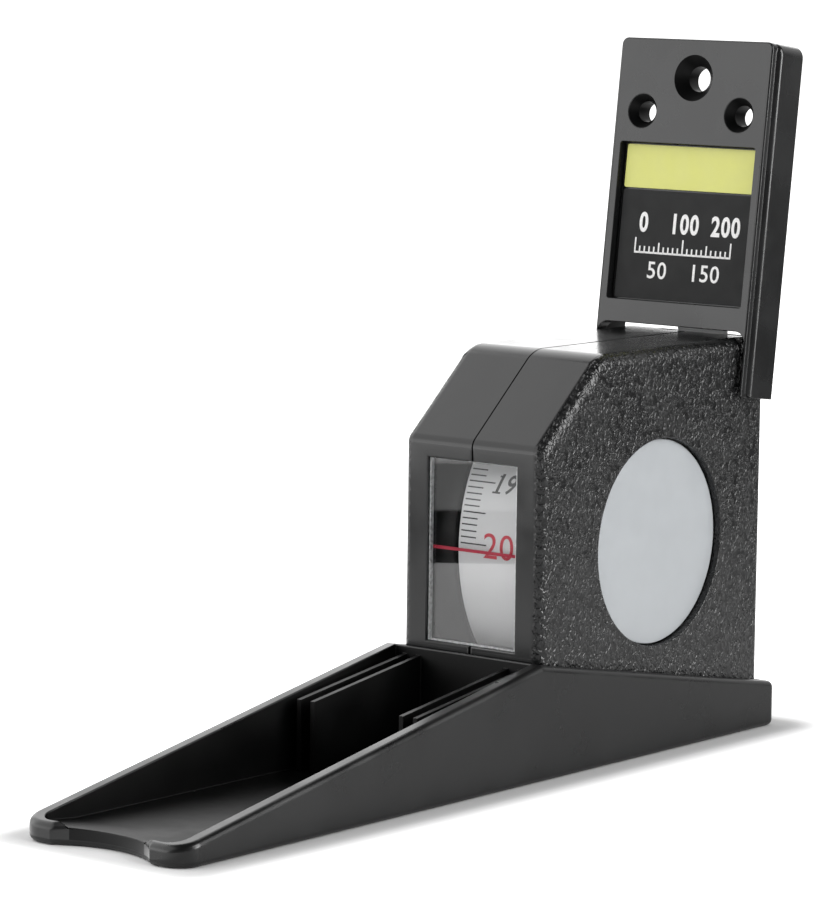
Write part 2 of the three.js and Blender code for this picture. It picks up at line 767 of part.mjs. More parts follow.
// Tape end: the free stretch, its hook and two rivets
const hookBottom = pinZ - hookLength;
const rivetZ = pinZ - rivetDrop;
const rivetXs = [tapeCentre - rivetSpacing / 2, tapeCentre + rivetSpacing / 2];
const hookFront = tapeFace + hookGap;
function rodY(radius, from, to, x, z) {
  return alongY(circle(radius, x, z, smallSteps), from, to);
}
function withRivetHoles(shape) {
  return rivetXs.reduce(
    (rest, x) => rest.subtract(rodY(rivetRadius + runningGap, tapeFace - past, pinY + past, x, rivetZ)),
    shape,
  );
}
const leadTop = pinZ - knuckleRadius - leadTopGap;
piece("tape_lead", withRivetHoles(alongY(outline([
  [tapeLeft, reelZ + leadBottomRise],
  [tapeRight, reelZ + leadBottomRise],
  [tapeRight, guideZ],
  [hookRight, guideZ + leadTaper],
  [hookRight, leadTop],
  [hookLeft, leadTop],
  [hookLeft, guideZ + leadTaper],
  [tapeLeft, guideZ],
]), tapeFace - tapeThickness, tapeFace)), whiteTape);
const knuckle = rodX(knuckleRadius, hookLeft, hookRight, pinY, pinZ);
const leaf = block([hookLeft, hookRight], [hookFront, hookFront + hookWall], [hookBottom, pinZ]);
const knuckleBore = rodX(pinRadius + runningGap, hookLeft - past, hookRight + past, pinY, pinZ);
piece("tape_hook", withRivetHoles(knuckle.add(leaf).subtract(knuckleBore)), steel);
rivetXs.forEach((x, i) => {
  const front = tapeFace - tapeThickness - hookGap;
  const back = hookFront + hookWall + hookGap;
  const shank = rodY(rivetRadius, front - rivetHeadThickness / 2, back + rivetHeadThickness / 2, x, rivetZ);
  const frontHead = rodY(rivetHeadRadius, front - rivetHeadThickness, front, x, rivetZ);
  const backHead = rodY(rivetHeadRadius, back, back + rivetHeadThickness, x, rivetZ);
  piece(`tape_rivet_${i + 1}`, shank.add(frontHead).add(backHead), steel);
});

// Wall bracket, in its own leaning frame: y is depth behind the front panel, z is up the plate
function bracketShell() {
  const half = plateWidth / 2;
  const rails = alongY(outline([
    [-railHalf, -earLength],
    [railHalf, -earLength],
    [railHalf, plateHeight, plateCorner + railReach],
    [-railHalf, plateHeight, plateCorner + railReach],
  ]), plateStep, bracketDepth + 2 * past, Math.min(railRound, (railThickness * 2) / 3))
    .intersect(block(everywhere, [0, bracketDepth], everywhere));
  const panel = alongY(outline([
    [-half, -earLength],
    [half, -earLength],
    [half, plateHeight, plateCorner],
    [-half, plateHeight, plateCorner],
  ]), 0, plateStep + sunk);
  const hollow = block(
    [-railInner, railInner],
    [plateThickness, bracketDepth + past],
    [-earLength - past, plateHeight - bracketTopWall],
  );
  const cutout = alongY(outline([
    [-railInner, -earLength - past],
    [railInner, -earLength - past],
    [railInner, 0, cutoutFillet],
    [-railInner, 0, cutoutFillet],
  ]), -past, bracketDepth + past);
  const pocket = alongY(
    rectangle(-pocketWidth / 2, pocketWidth / 2, pocketBottom, pocketTop, pocketCorner),
    -past,
    pocketDepth,
  );
  let shape = rails.add(panel).subtract(hollow).subtract(cutout).subtract(pocket);
  shape = shape.subtract(wallHole(0, mainHoleUp, mainHoleRadius, mainSinkRadius, mainSinkDepth));
  for (const sign of [-1, 1]) {
    const x = (sign * sideHoleSpacing) / 2;
    shape = shape.subtract(wallHole(x, sideHoleUp, sideHoleRadius, sideSinkRadius, sideSinkDepth));
  }
  for (const lugSpan of lugSpans) {
    const web = block(lugSpan, [plateThickness - sunk, pinDepth], [pinUp - lugRadius, pinUp + lugRadius]);
    shape = shape.add(web).add(rodX(lugRadius, ...lugSpan, pinDepth, pinUp, roundSteps / 2));
  }
  return shape.subtract(rodX(pinRadius + runningGap, -railInner, railInner, pinDepth, pinUp));
}

// A countersunk screw hole through the plate
function wallHole(x, up, radius, sinkRadius, sinkDepth) {
  const profile = [
    [0, -past],
    [sinkRadius, -past],
    [sinkRadius, 0],
    [radius, sinkDepth],
    [radius, plateThickness + past],
    [0, plateThickness + past],
  ];
  return solid(lathe(profile, roundSteps / 2).translate(x, 0, up));
}

const lugSpans = [
  [hookLeft - lugGap - lugThickness, hookLeft - lugGap],
  [hookRight + lugGap, hookRight + lugGap + lugThickness],
];
piece("wall_plate", bracketShell(), blackShell, bracket);
piece("bracket_pin", rodX(
  pinRadius,
  lugSpans[0][0] - pinEndReach,
  lugSpans[1][1] + pinEndReach,
  pinDepth,
  pinUp,
), steel, bracket);

// Label in its pocket: a dark card under a yellow strip
const labelHalf = pocketWidth / 2 - labelGap;
const labelDepths = [pocketDepth - labelGap - labelThickness, pocketDepth - labelGap];
const stripTop = pocketTop - labelGap;
const stripBottom = stripTop - stripHeight;
const cardTop = stripBottom - labelGap;
const cardBottom = pocketBottom + labelGap;
piece("label_strip", block([-labelHalf, labelHalf], labelDepths, [stripBottom, stripTop]), yellow, bracket);
piece("label_card", block([-labelHalf, labelHalf], labelDepths, [cardBottom, cardTop]), labelBlack, bracket);

export default group;
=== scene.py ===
# %% [markdown]
# A roll-up height tape in Blender
#
# The real object hangs on a wall at two metres. Its head board is pulled down onto a head, the tape
# unrolls behind it, and the height shows at the crimson line in the window. A imported CAD model holds
# every piece at its real size. This script gives most visible pieces a modelled mesh and a finish, and a
# few a finish only.
# Lengths are in metres, and `mm` turns the maker's millimetres into them.

import math

import bmesh
import bpy
from mathutils import Matrix, Vector


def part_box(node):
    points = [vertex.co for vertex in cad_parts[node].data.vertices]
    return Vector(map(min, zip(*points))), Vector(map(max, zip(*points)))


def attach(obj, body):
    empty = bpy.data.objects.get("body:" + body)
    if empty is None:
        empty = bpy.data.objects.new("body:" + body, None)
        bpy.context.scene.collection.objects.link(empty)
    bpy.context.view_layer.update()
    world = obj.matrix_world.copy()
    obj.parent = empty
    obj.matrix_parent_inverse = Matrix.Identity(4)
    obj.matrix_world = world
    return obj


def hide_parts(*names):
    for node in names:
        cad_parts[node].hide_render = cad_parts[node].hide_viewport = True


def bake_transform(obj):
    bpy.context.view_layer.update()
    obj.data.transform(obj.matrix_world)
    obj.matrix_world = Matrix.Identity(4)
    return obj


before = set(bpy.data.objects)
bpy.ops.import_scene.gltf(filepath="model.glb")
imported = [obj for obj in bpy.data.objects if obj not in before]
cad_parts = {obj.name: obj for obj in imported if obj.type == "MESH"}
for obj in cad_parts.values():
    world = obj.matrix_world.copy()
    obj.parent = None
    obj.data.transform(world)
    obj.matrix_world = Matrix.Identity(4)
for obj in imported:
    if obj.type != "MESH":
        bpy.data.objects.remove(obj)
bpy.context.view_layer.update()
mm = 0.001
print("nodes in the frame:", len(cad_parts))

# %% [markdown]
# Every place is measured on the frame, so a piece goes where the CAD says. A node's box gives its
# lowest and highest corner at rest, and most sizes below follow from a few of these corners.

# %% Places measured on the frame
board_low, board_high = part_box("head_board")
case_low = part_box("case_left")[0]
case_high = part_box("case_right")[1]
coil_low, coil_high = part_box("tape_coil")
cover_low, cover_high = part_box("reel_cover")
lens_low, lens_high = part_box("window_lens")
badge_low, badge_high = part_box("badge_right")
lead_low, lead_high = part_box("tape_lead")
hook_low, hook_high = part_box("tape_hook")
pin_low, pin_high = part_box("bracket_pin")

case_front, case_back, case_top = case_low.y, case_high.y, case_high.z
case_half = case_high.x
axis_y = (cover_low.y + cover_high.y) / 2
axis_z = (cover_low.z + cover_high.z) / 2
reel_axis = Vector((0, axis_y, axis_z))
rim_radius = (cover_high.z - cover_low.z) / 2
coil_radius = rim_radius - 0.4 * mm
past = 1 * mm
print("reel axis at", [round(value / mm, 2) for value in reel_axis], "mm")

# %% [markdown]
# Camera
#
# The photograph was taken from the front right, a little above the window. The angles and the focal
# length come from fitting the corners of the case, board and bracket to the picture. The picture is
# taller than wide, so the sensor's long side lies along its height.

# %% Camera
yaw, pitch, roll = math.radians(38.62), math.radians(7.29), math.radians(0.73)
camera_place = Vector((408.9, -515.0, 135.0)) * mm
focal_pixels, picture_height = 4292.2, 907
sensor_size = 36.0

back = Vector((math.sin(yaw) * math.cos(pitch), -math.cos(yaw) * math.cos(pitch), math.sin(pitch)))
level = Vector((math.cos(yaw), math.sin(yaw), 0))
upright = back.cross(level)
right = math.cos(roll) * level + math.sin(roll) * upright
up = math.cos(roll) * upright - math.sin(roll) * level

camera_data = bpy.data.cameras.new("camera")
camera_data.sensor_width = sensor_size
camera_data.lens = focal_pixels * sensor_size / picture_height
camera_data.clip_start, camera_data.clip_end = 0.01, 50
camera = bpy.data.objects.new("camera", camera_data)
camera.matrix_world = Matrix((right, up, back)).transposed().to_4x4()
camera.location = camera_place
bpy.context.scene.collection.objects.link(camera)
bpy.context.scene.camera = camera
bpy.context.scene.view_settings.view_transform = "Standard"
print("lens", round(camera_data.lens, 1), "mm")

# %% [markdown]
# Making meshes
#
# A piece is modelled in a bmesh, which is Blender's editable mesh for scripts. `finish_mesh` turns it
# into an object at the origin. Its edges are marked sharp where the surface breaks, and the normals of
# the large flat faces are given more weight, so that a narrow bevel shades round while the face beside
# it stays flat. That thin highlight is what makes a moulded edge look real.

# %% From bmesh to object
def finish_mesh(name, work, sharp_angle=35):
    bmesh.ops.recalc_face_normals(work, faces=work.faces)
    limit = math.radians(sharp_angle)
    for face in work.faces:
        face.smooth = True
    for edge in work.edges:
        edge.smooth = len(edge.link_faces) == 2 and edge.calc_face_angle(0) < limit
    mesh = bpy.data.meshes.new(name)
    work.to_mesh(mesh)
    work.free()
    obj = bpy.data.objects.new(name, mesh)
    bpy.context.scene.collection.objects.link(obj)
    return obj


def apply_modifiers(obj):
    graph = bpy.context.evaluated_depsgraph_get()
    old = obj.data
    obj.data = bpy.data.meshes.new_from_object(obj.evaluated_get(graph))
    obj.modifiers.clear()
    bpy.data.meshes.remove(old)


def weigh_normals(obj):
    modifier = obj.modifiers.new("normals", "WEIGHTED_NORMAL")
    modifier.keep_sharp = True
    modifier.weight = 100
    apply_modifiers(obj)


def reopen(obj):
    """An object's mesh as a bmesh again. The object itself goes."""
    work = bmesh.new()
    work.from_mesh(obj.data)
    bpy.data.objects.remove(obj)
    return work

# %% [markdown]
# Solid shapes
#
# Two shapes make nearly everything here. A prism is a flat outline pulled along an axis, and a turned
# body is a profile spun about an axis. Both are the way the toolmaker thought of the mouldings too.

# %% Prisms and turned bodies
def unit(axis):
    return Vector([float(axis == name) for name in "xyz"])


def prism(points, axis, start, end):
    """An outline pulled along an axis. Its points are in the two other axes, in x, y, z order."""
    work = bmesh.new()
    flat = [name for name in "xyz" if name != axis]
    corners = [
        work.verts.new(unit(flat[0]) * across + unit(flat[1]) * along + unit(axis) * start)
        for across, along in points
    ]
    face = work.faces.new(corners)
    moved = bmesh.ops.extrude_face_region(work, geom=[face])["geom"]
    verts = [item for item in moved if isinstance(item, bmesh.types.BMVert)]
    bmesh.ops.translate(work, vec=unit(axis) * (end - start), verts=verts)
    bmesh.ops.recalc_face_normals(work, faces=work.faces)
    return work


def rectangle(low, high):
    return [(low[0], low[1]), (high[0], low[1]), (high[0], high[1]), (low[0], high[1])]


def block(low, high):
    return finish_mesh("block", prism(rectangle(low, high), "z", low[2], high[2]))


def turned(profile, axis, centre, steps=64, closed=False):
    """A profile of (radius, distance along the axis) spun about an axis through a point."""
    work = bmesh.new()
    outward = unit("x") if axis == "z" else unit("z")
    flat_centre = Vector(centre) - unit(axis) * Vector(centre).dot(unit(axis))
    verts = [
        work.verts.new(flat_centre + outward * radius + unit(axis) * along)
        for radius, along in profile
    ]
    ends = verts[1:] + verts[:1] if closed else verts[1:]
    edges = [work.edges.new(pair) for pair in zip(verts, ends)]
    bmesh.ops.spin(
        work, geom=verts + edges, cent=flat_centre, axis=unit(axis), angle=math.tau, steps=steps,
        use_merge=True,
    )
    bmesh.ops.remove_doubles(work, verts=work.verts, dist=1e-7)
    bmesh.ops.recalc_face_normals(work, faces=work.faces)
    return work


def rod(radius, axis, start, end, centre, steps=64):
    work = turned([(0, start), (radius, start), (radius, end), (0, end)], axis, centre, steps)
    return finish_mesh("rod", work)

# %% [markdown]
# Cutting and softening
#
# Booleans cut windows, holes and hollows. The manifold solver is used because it leaves every mesh
# closed. Afterwards a flat face can surround a hole, and the boolean joins the hole to the outside by
# an edge at an odd angle that a bevel trips over. `clean_cuts` runs a plane through each hole, keeps
# those straight cuts, and dissolves the odd edges. Then a bevel can follow every sharp edge.

# %% Cut, clean and bevel
def combine(obj, others, operation="DIFFERENCE"):
    for other in others:
        modifier = obj.modifiers.new("combine", "BOOLEAN")
        modifier.operation = operation
        modifier.solver = "MANIFOLD"
        modifier.object = other
    apply_modifiers(obj)
    for other in others:
        bpy.data.objects.remove(other)
    return obj


def cut_across(work, point, normal, reach=1e-7, **settings):
    """Cuts every face that a plane crosses, and gives back the edges of the cut."""
    geometry = list(work.verts) + list(work.edges) + list(work.faces)
    cut = bmesh.ops.bisect_plane(
        work, geom=geometry, dist=reach, plane_co=point, plane_no=normal, **settings,
    )["geom_cut"]
    return [item for item in cut if isinstance(item, bmesh.types.BMEdge)]


def clean_cuts(work, planes):
    """Keeps straight cuts along these planes and dissolves the other edges of flat faces."""
    bmesh.ops.remove_doubles(work, verts=work.verts, dist=1e-6)
    for axis, place in planes:
        for edge in cut_across(work, unit(axis) * place, unit(axis)):
            edge.seam = True
    bmesh.ops.dissolve_limit(
        work, angle_limit=math.radians(0.4), verts=work.verts, edges=work.edges, delimit={"SEAM"},
    )
    for edge in work.edges:
        edge.seam = False


def slice_off(work, point, normal):
    """Cuts away what lies past a plane and closes the cut."""
    border = cut_across(work, point, normal, clear_outer=True)
    bmesh.ops.holes_fill(work, edges=border)


def bevel_edges(work, edges, width, segments=3):
    bmesh.ops.bevel(
        work, geom=edges, offset=width, segments=segments, affect="EDGES", profile=0.5, material=-1,
    )


def soften(work, width, chosen=None, segments=3, limit=50):
    """Bevels the edges that turn by more than the limit, or those of them that a test picks."""
    edges = [
        edge for edge in work.edges
        if len(edge.link_faces) == 2
        and edge.calc_face_angle(0) > math.radians(limit)
        and (chosen is None or chosen(edge))
    ]
    bevel_edges(work, edges, width, segments)
    return len(edges)


def lies_on(axis, place, both_sides=False):
    """A test for edges that lie in a plane across an axis."""
    index = "xyz".index(axis)

    def test(edge):
        first, second = (vert.co[index] for vert in edge.verts)
        place_here = math.copysign(place, first) if both_sides else place
        return abs(first - place_here) < 1e-5 and abs(second - place_here) < 1e-5

    return test


def runs_along(axis):
    index = "xyz".index(axis)

    def test(edge):
        step = edge.verts[1].co - edge.verts[0].co
        return abs(step[index]) > 0.999 * step.length

    return test


def near(axis, place):
    """A test for edges whose middle is within half a millimetre of a place on an axis."""
    index = "xyz".index(axis)
    return lambda edge: abs((edge.verts[0].co[index] + edge.verts[1].co[index]) / 2 - place) < 0.5 * mm

# %% [markdown]
# Finishes
#
# Each finish is a small node tree on Principled BSDF. Colour, roughness and bump vary through noise in
# Object coordinates. Every piece's object stays at the origin, so these are the real metres of the
# object, and a grain of half a millimetre is written as half a millimetre.

# %% Nodes, and a finish made of them
class NodeMaker:
    """Adds nodes to a tree. An input takes a value or another node's output."""

    def __init__(self, tree):
        self.nodes, self.links = tree.nodes, tree.links

    def node(self, kind, inputs, **settings):
        made = self.nodes.new(kind)
        for key, value in settings.items():
            setattr(made, key, value)
        for key, value in inputs.items():
            if isinstance(value, bpy.types.NodeSocket):
                self.links.new(value, made.inputs[key])
            else:
                made.inputs[key].default_value = value
        return made

    def math(self, operation, first, second=0.0):
        return self.node("ShaderNodeMath", {0: first, 1: second}, operation=operation).outputs[0]

    def vector_math(self, operation, first, second=(0, 0, 0), output="Vector"):
        made = self.node("ShaderNodeVectorMath", {0: first, 1: second}, operation=operation)
        return made.outputs[output]

    def ramp(self, value, low, high, start=0.0, end=1.0):
        """Takes low..high smoothly onto start..end, and holds it at both ends."""
        inputs = {"Value": value, "From Min": low, "From Max": high, "To Min": start, "To Max": end}
        return self.node("ShaderNodeMapRange", inputs, interpolation_type="SMOOTHSTEP").outputs["Result"]

    def rays(self):
        """Which rays ask: the camera's, also through glass, then mirrored ones, then scattered ones."""
        path = self.nodes.new("ShaderNodeLightPath").outputs
        direct = self.math("MAXIMUM", path["Is Camera Ray"], path["Is Transmission Ray"])
        return direct, path["Is Glossy Ray"], path["Is Diffuse Ray"]


class Finish(NodeMaker):
    def __init__(self, name, **sockets):
        self.material = bpy.data.materials.new(name)
        self.material.use_nodes = True
        super().__init__(self.material.node_tree)
        self.shader = self.nodes["Principled BSDF"]
        self.place = self.nodes.new("ShaderNodeTexCoord").outputs["Object"]
        for socket, value in sockets.items():
            self.shader.inputs[socket.replace("_", " ")].default_value = value

    def noise(self, size, detail=2.0, place=None, output="Fac"):
        """Noise with features of about this size in metres."""
        inputs = {"Vector": place or self.place, "Scale": 1 / size, "Detail": detail}
        return self.node("ShaderNodeTexNoise", inputs).outputs[output]

    def pebbles(self, size, place):
        """Rounded cells of about this size: 0 in their middles, rising to their borders."""
        inputs = {"Vector": place, "Scale": 1 / size, "Smoothness": 0.5}
        return self.node("ShaderNodeTexVoronoi", inputs, feature="SMOOTH_F1").outputs["Distance"]

    def blend(self, share, first, second):
        inputs = {0: share, 6: first, 7: second}
        return self.node("ShaderNodeMix", inputs, data_type="RGBA").outputs[2]

    def drive(self, socket, value):
        self.links.new(value, self.shader.inputs[socket])

    def bump(self, height, depth, under=None):
        """Bump of a height from 0 to 1 over a depth in metres, on top of another bump."""
        inputs = {"Height": height, "Distance": depth, "Strength": 1.0}
        if under:
            inputs["Normal"] = under
        normal = self.node("ShaderNodeBump", inputs).outputs["Normal"]
        self.drive("Normal", normal)
        return normal


def grey(level, blue=0.0):
    return (level, level * (1 + blue / 2), level * (1 + blue), 1.0)


def tint(color, factor):
    return tuple(min(1.0, channel * factor) for channel in color[:3]) + (1.0,)

# %% [markdown]
# Smooth black plastic
#
# The board and the bracket come out of a polished mould: a near-black body under a clear reflection.
# Slow noise moves the roughness, as handling and the mould's flow do, and a very low bump keeps long
# reflections from being ruler-straight. Inside the dish and the screw holes the mould is only
# sandblasted, so both pieces have a second, rougher and less shiny finish there. Its darker body colour
# is painted shade in those hollows.

# %% Smooth black plastic
plastic_ior = 1.46
cloud_size, ripple_size, ripple_depth = 9 * mm, 6 * mm, 0.02 * mm


def smooth_black(name, body, roughness, shine=0.5):
    made = Finish(name, IOR=plastic_ior, Specular_IOR_Level=shine)
    cloudy = made.noise(cloud_size, 3)
    made.drive("Base Color", made.blend(cloudy, grey(body * 0.8, 0.05), grey(body * 1.2, 0.08)))
    made.drive("Roughness", made.ramp(cloudy, 0.3, 0.7, roughness - 0.04, roughness + 0.07))
    ripple = made.bump(made.noise(ripple_size, 1), ripple_depth)
    made.bump(made.noise(0.4 * mm, 2), 0.0008 * mm, ripple)
    return made


board_black = smooth_black("board_black", body=0.004, roughness=0.3)
# Darker than the board's black: this body colour is painted shade for the dish and the screw holes.
dull_black = smooth_black("dull_black", body=0.0015, roughness=0.42, shine=0.2)
bracket_black = smooth_black("bracket_black", body=0.010, roughness=0.24)
reel_black = smooth_black("reel_black", body=0.003, roughness=0.45, shine=0.2)

# %% [markdown]
# Leather grain
#
# The case's sides carry a leather grain that was etched into the mould, and it runs over the rounded
# rim up to the polished front. Smooth Voronoi cells make the pebbles, a little taller than wide. Their
# place is first pushed about by noise, so that the furrows between them wander like skin and don't look
# like a net. A ramp on the distance from the middle plane fades the grain in across the rim. The tops of
# the pebbles are a touch paler than the plain plastic, and the furrows between them keep the plain colour
# as painted shade. The grained sides are also a touch duller.

# %% Case plastic, grained on its sides
grain_start, grain_full = case_half - 1.7 * mm, case_half - 1.0 * mm
large_pebble, small_pebble, grain_depth = 0.75 * mm, 0.36 * mm, 0.115 * mm
push_size, push_by = 1.1 * mm, 0.8 * mm
pebble_stretch = (1, 1, 0.75)


def case_plastic():
    made = Finish("case_black", IOR=plastic_ior)
    from_middle = made.math("ABSOLUTE", made.node("ShaderNodeSeparateXYZ", {0: made.place}).outputs["X"])
    on_side = made.ramp(from_middle, grain_start, grain_full)
    push = made.noise(push_size, 2, output="Color")
    push = made.node("ShaderNodeVectorMath", {0: push, "Scale": push_by}, operation="SCALE").outputs[0]
    wandering = made.vector_math("ADD", made.vector_math("MULTIPLY", made.place, pebble_stretch), push)
    large = made.pebbles(large_pebble, wandering)
    small = made.math("MULTIPLY", made.pebbles(small_pebble, wandering), 0.4)
    height = made.ramp(made.math("ADD", large, small), 0.35, 1.0, 1.0, 0.0)
    grain = made.math("MULTIPLY", height, on_side)
    cloudy = made.noise(cloud_size, 3)
    plain = made.blend(cloudy, grey(0.005, 0.05), grey(0.008, 0.08))
    # Painted shade: the furrows between the pebbles get the darker plain colour and their tops a paler one.
    made.drive("Base Color", made.blend(grain, plain, grey(0.018, 0.05)))
    smooth = made.ramp(cloudy, 0.3, 0.7, 0.16, 0.24)
    made.drive("Roughness", made.math("ADD", smooth, made.math("MULTIPLY", on_side, 0.06)))
    ripple = made.bump(made.noise(ripple_size, 1), ripple_depth)
    made.bump(grain, grain_depth, ripple)
    return made


case_black = case_plastic()

# %% [markdown]
# Clear acrylic with frosted edges and a painted highlight on them
#
# The lens is clear, and its edges were sawn. Near the edge of its face the finish turns from clear to a
# rough white, by the distance from the border: the roughness is the sawn finish, and the white is a
# painted highlight for the fine lines of light that the edges catch along the window.

# %% Lens acrylic
lens_centre = (lens_low + lens_high) / 2
lens_reach = 1.1 * mm
lens_half = lens_high - lens_centre - Vector((lens_reach, 0, lens_reach))
edge_band_width, edge_band_fade, chip_size = 0.16 * mm, 0.05 * mm, 0.1 * mm


def acrylic():
    made = Finish("clear_acrylic", IOR=1.55)
    centred = made.vector_math("SUBTRACT", made.place, lens_centre)
    apart = made.node("ShaderNodeSeparateXYZ", {0: centred})
    from_side = made.math("SUBTRACT", lens_half.x, made.math("ABSOLUTE", apart.outputs["X"]))
    chips = made.ramp(made.noise(0.6 * mm, 3), 0.4, 0.6)
    from_foot = made.math("ADD", apart.outputs["Z"], lens_half.z)
    from_foot = made.math("ADD", from_foot, made.math("MULTIPLY", chips, chip_size))
    margin = made.math("MINIMUM", from_side, from_foot)
    clear = made.ramp(margin, edge_band_width, edge_band_width + edge_band_fade)
    # Painted highlight: the white of the edge band stands for the light that the sawn edges catch.
    frosted_highlight_white = made.blend(chips, grey(0.55, 0.02), grey(0.95, 0.01))
    made.drive("Base Color", made.blend(clear, frosted_highlight_white, grey(0.985, 0.005)))
    made.drive("Transmission Weight", made.math("MAXIMUM", clear, 0.45))
    made.drive("Roughness", made.ramp(clear, 0.0, 1.0, 0.5, 0.01))
    return made


clear_acrylic = acrylic()

# %% [markdown]
# Print, labels, tape and badges
#
# Ink has small thin spots, label stock and coated tape have a low grain, and the badge discs are satin.
# One helper makes the inks and another the satin surfaces.

# %% Inks
def ink(name, color, roughness=0.45):
    made = Finish(name)
    spots = made.noise(0.25 * mm, 3)
    made.drive("Base Color", made.blend(made.ramp(spots, 0.45, 0.8), color, tint(color, 1.3)))
    made.drive("Roughness", made.ramp(spots, 0.3, 0.7, roughness - 0.05, roughness + 0.1))
    return made


crimson_ink = ink("crimson_ink", (0.40, 0.004, 0.030, 1))
red_ink = ink("red_ink", (0.50, 0.035, 0.055, 1))
black_ink = ink("black_ink", grey(0.014, 0.1))
white_ink = ink("white_ink", grey(0.72, -0.02))

# %% Satin surfaces
def satin(name, color, grain, depth, roughness, spread=0.06, shine=0.5):
    made = Finish(name, Specular_IOR_Level=shine)
    cloudy = made.noise(grain * 10, 3)
    made.drive("Base Color", made.blend(cloudy, tint(color, 1 - spread), tint(color, 1 + spread)))
    made.drive("Roughness", made.ramp(cloudy, 0.3, 0.7, roughness - 0.05, roughness + 0.08))
    made.bump(made.noise(grain, 3), depth)
    return made


badge_grey = satin("badge_grey", (0.53, 0.555, 0.575, 1), 0.30 * mm, 0.006 * mm, 0.33, 0.03)
label_yellow = satin("label_yellow", (0.58, 0.585, 0.135, 1), 0.25 * mm, 0.004 * mm, 0.45, 0.05)
label_black = satin("label_black", grey(0.020, 0.02), 0.25 * mm, 0.004 * mm, 0.6, 0.15, 0.12)
tape_white = satin("tape_white", grey(0.63, 0.01), 0.4 * mm, 0.006 * mm, 0.35, 0.03)
nylon_pale = satin("nylon_pale", grey(0.52, -0.06), 0.6 * mm, 0.012 * mm, 0.45, 0.05)

# %% [markdown]
# Steels
#
# Brushing leaves streaks along one direction. The noise is squeezed along the others with a Mapping
# node, so that each streak is a few times longer than it is wide.

# %% Steels
def steel(name, color, roughness, stretch):
    made = Finish(name, Metallic=1.0)
    streaked = made.node("ShaderNodeMapping", {"Vector": made.place, "Scale": stretch}).outputs[0]
    streaks = made.noise(0.12 * mm, 3, streaked)
    spots = made.noise(1.2 * mm, 4)
    made.drive("Base Color", made.blend(spots, tint(color, 0.8), color))
    made.drive("Roughness", made.ramp(streaks, 0.25, 0.75, roughness - 0.08, roughness + 0.1))
    made.bump(streaks, 0.002 * mm)
    return made


zinc_steel = steel("zinc_steel", grey(0.60, 0.03), 0.3, (0.12, 1, 1))
hook_steel = steel("hook_steel", grey(0.55, 0.03), 0.32, (1, 1, 0.12))
spring_steel = steel("spring_steel", (0.16, 0.18, 0.22, 1), 0.35, (0.12, 1, 1))

# %% Dress a piece
def dress(obj, finish, body=None, replaced=()):
    """Gives a piece its finish and the body that it rides on, and hides the nodes that it stands for."""
    obj.data.materials.clear()
    obj.data.materials.append(finish.material)
    if body:
        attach(obj, body)
    if replaced:
        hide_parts(*replaced)
    print(obj.name, "has", len(obj.data.polygons), "faces")


def dress_part(obj, finish, chosen):
    """A second finish for the faces whose middle passes a test."""
    obj.data.materials.append(finish.material)
    faces = [face for face in obj.data.polygons if chosen(face.center)]
    for face in faces:
        face.material_index = 1
    print(obj.name, "has", len(faces), "of them in its second finish")

# %% [markdown]
# Case
#
# The case is two mirrored mouldings that meet on the middle plane. The outside starts as a prism of
# its side view. The folds are bevelled first and the two side rims after them, because the rims run
# round the folded body. A rim stays smaller than a fold, or the second bevel would collapse at the
# corners. The hollow is the same side view drawn in by the wall.

# %% Case outline
wall = 1.8 * mm
fold, brow_fold, rim = 2.2 * mm, 0.9 * mm, 2.0 * mm
slope_drop, slope_run = 13.6 * mm, 15.6 * mm
case_corners = [
    (case_front, case_low.z),
    (case_back, case_low.z),
    (case_back, case_top),
    (case_front + slope_run, case_top),
    (case_front, case_top - slope_drop),
]


def drawn_in(corners, by):
    moved = []
    for index, corner in enumerate(corners):
        here = Vector(corner)
        before = (Vector(corners[index - 1]) - here).normalized()
        after = (Vector(corners[(index + 1) % len(corners)]) - here).normalized()
        moved.append(here + (before + after).normalized() * by / math.sin(before.angle(after) / 2))
    return moved


def case_block():
    work = prism(case_corners, "x", -case_half, case_half)
    folds = [edge for edge in work.edges if runs_along("x")(edge)]
    brow = [edge for edge in folds if near("z", case_top - slope_drop)(edge)]
    bevel_edges(work, [edge for edge in folds if edge not in brow], fold, 10)
    bevel_edges(work, [edge for edge in brow if edge.is_valid], brow_fold, 6)
    on_side = lies_on("x", case_half, both_sides=True)
    bevel_edges(work, [edge for edge in work.edges if on_side(edge)], rim, 8)
    return finish_mesh("case", work)

# %% [markdown]
# Inside the case there are tubes for four long screws, a hub for the reel's arbor on each side, sockets
# for the tape's guide pin and pillars for the screws that come up through the board. A screw's bore is
# wider than the screw by a small gap, and the pillars have only a pilot hole that the thread bites into.

# %% Places in the case
window_half = 8.75 * mm
window_low = axis_z - 14.9 * mm
window_high = window_low + 29.2 * mm
badge_centre = (badge_low + badge_high) / 2
recess_radius = badge_high.y - badge_centre.y + 0.25 * mm
recess_floor = badge_low.x - 0.1 * mm
recess_back = recess_floor - 1.4 * mm
guide = Vector((0, lead_low.y - 1.3 * mm, case_top - 4.2 * mm))

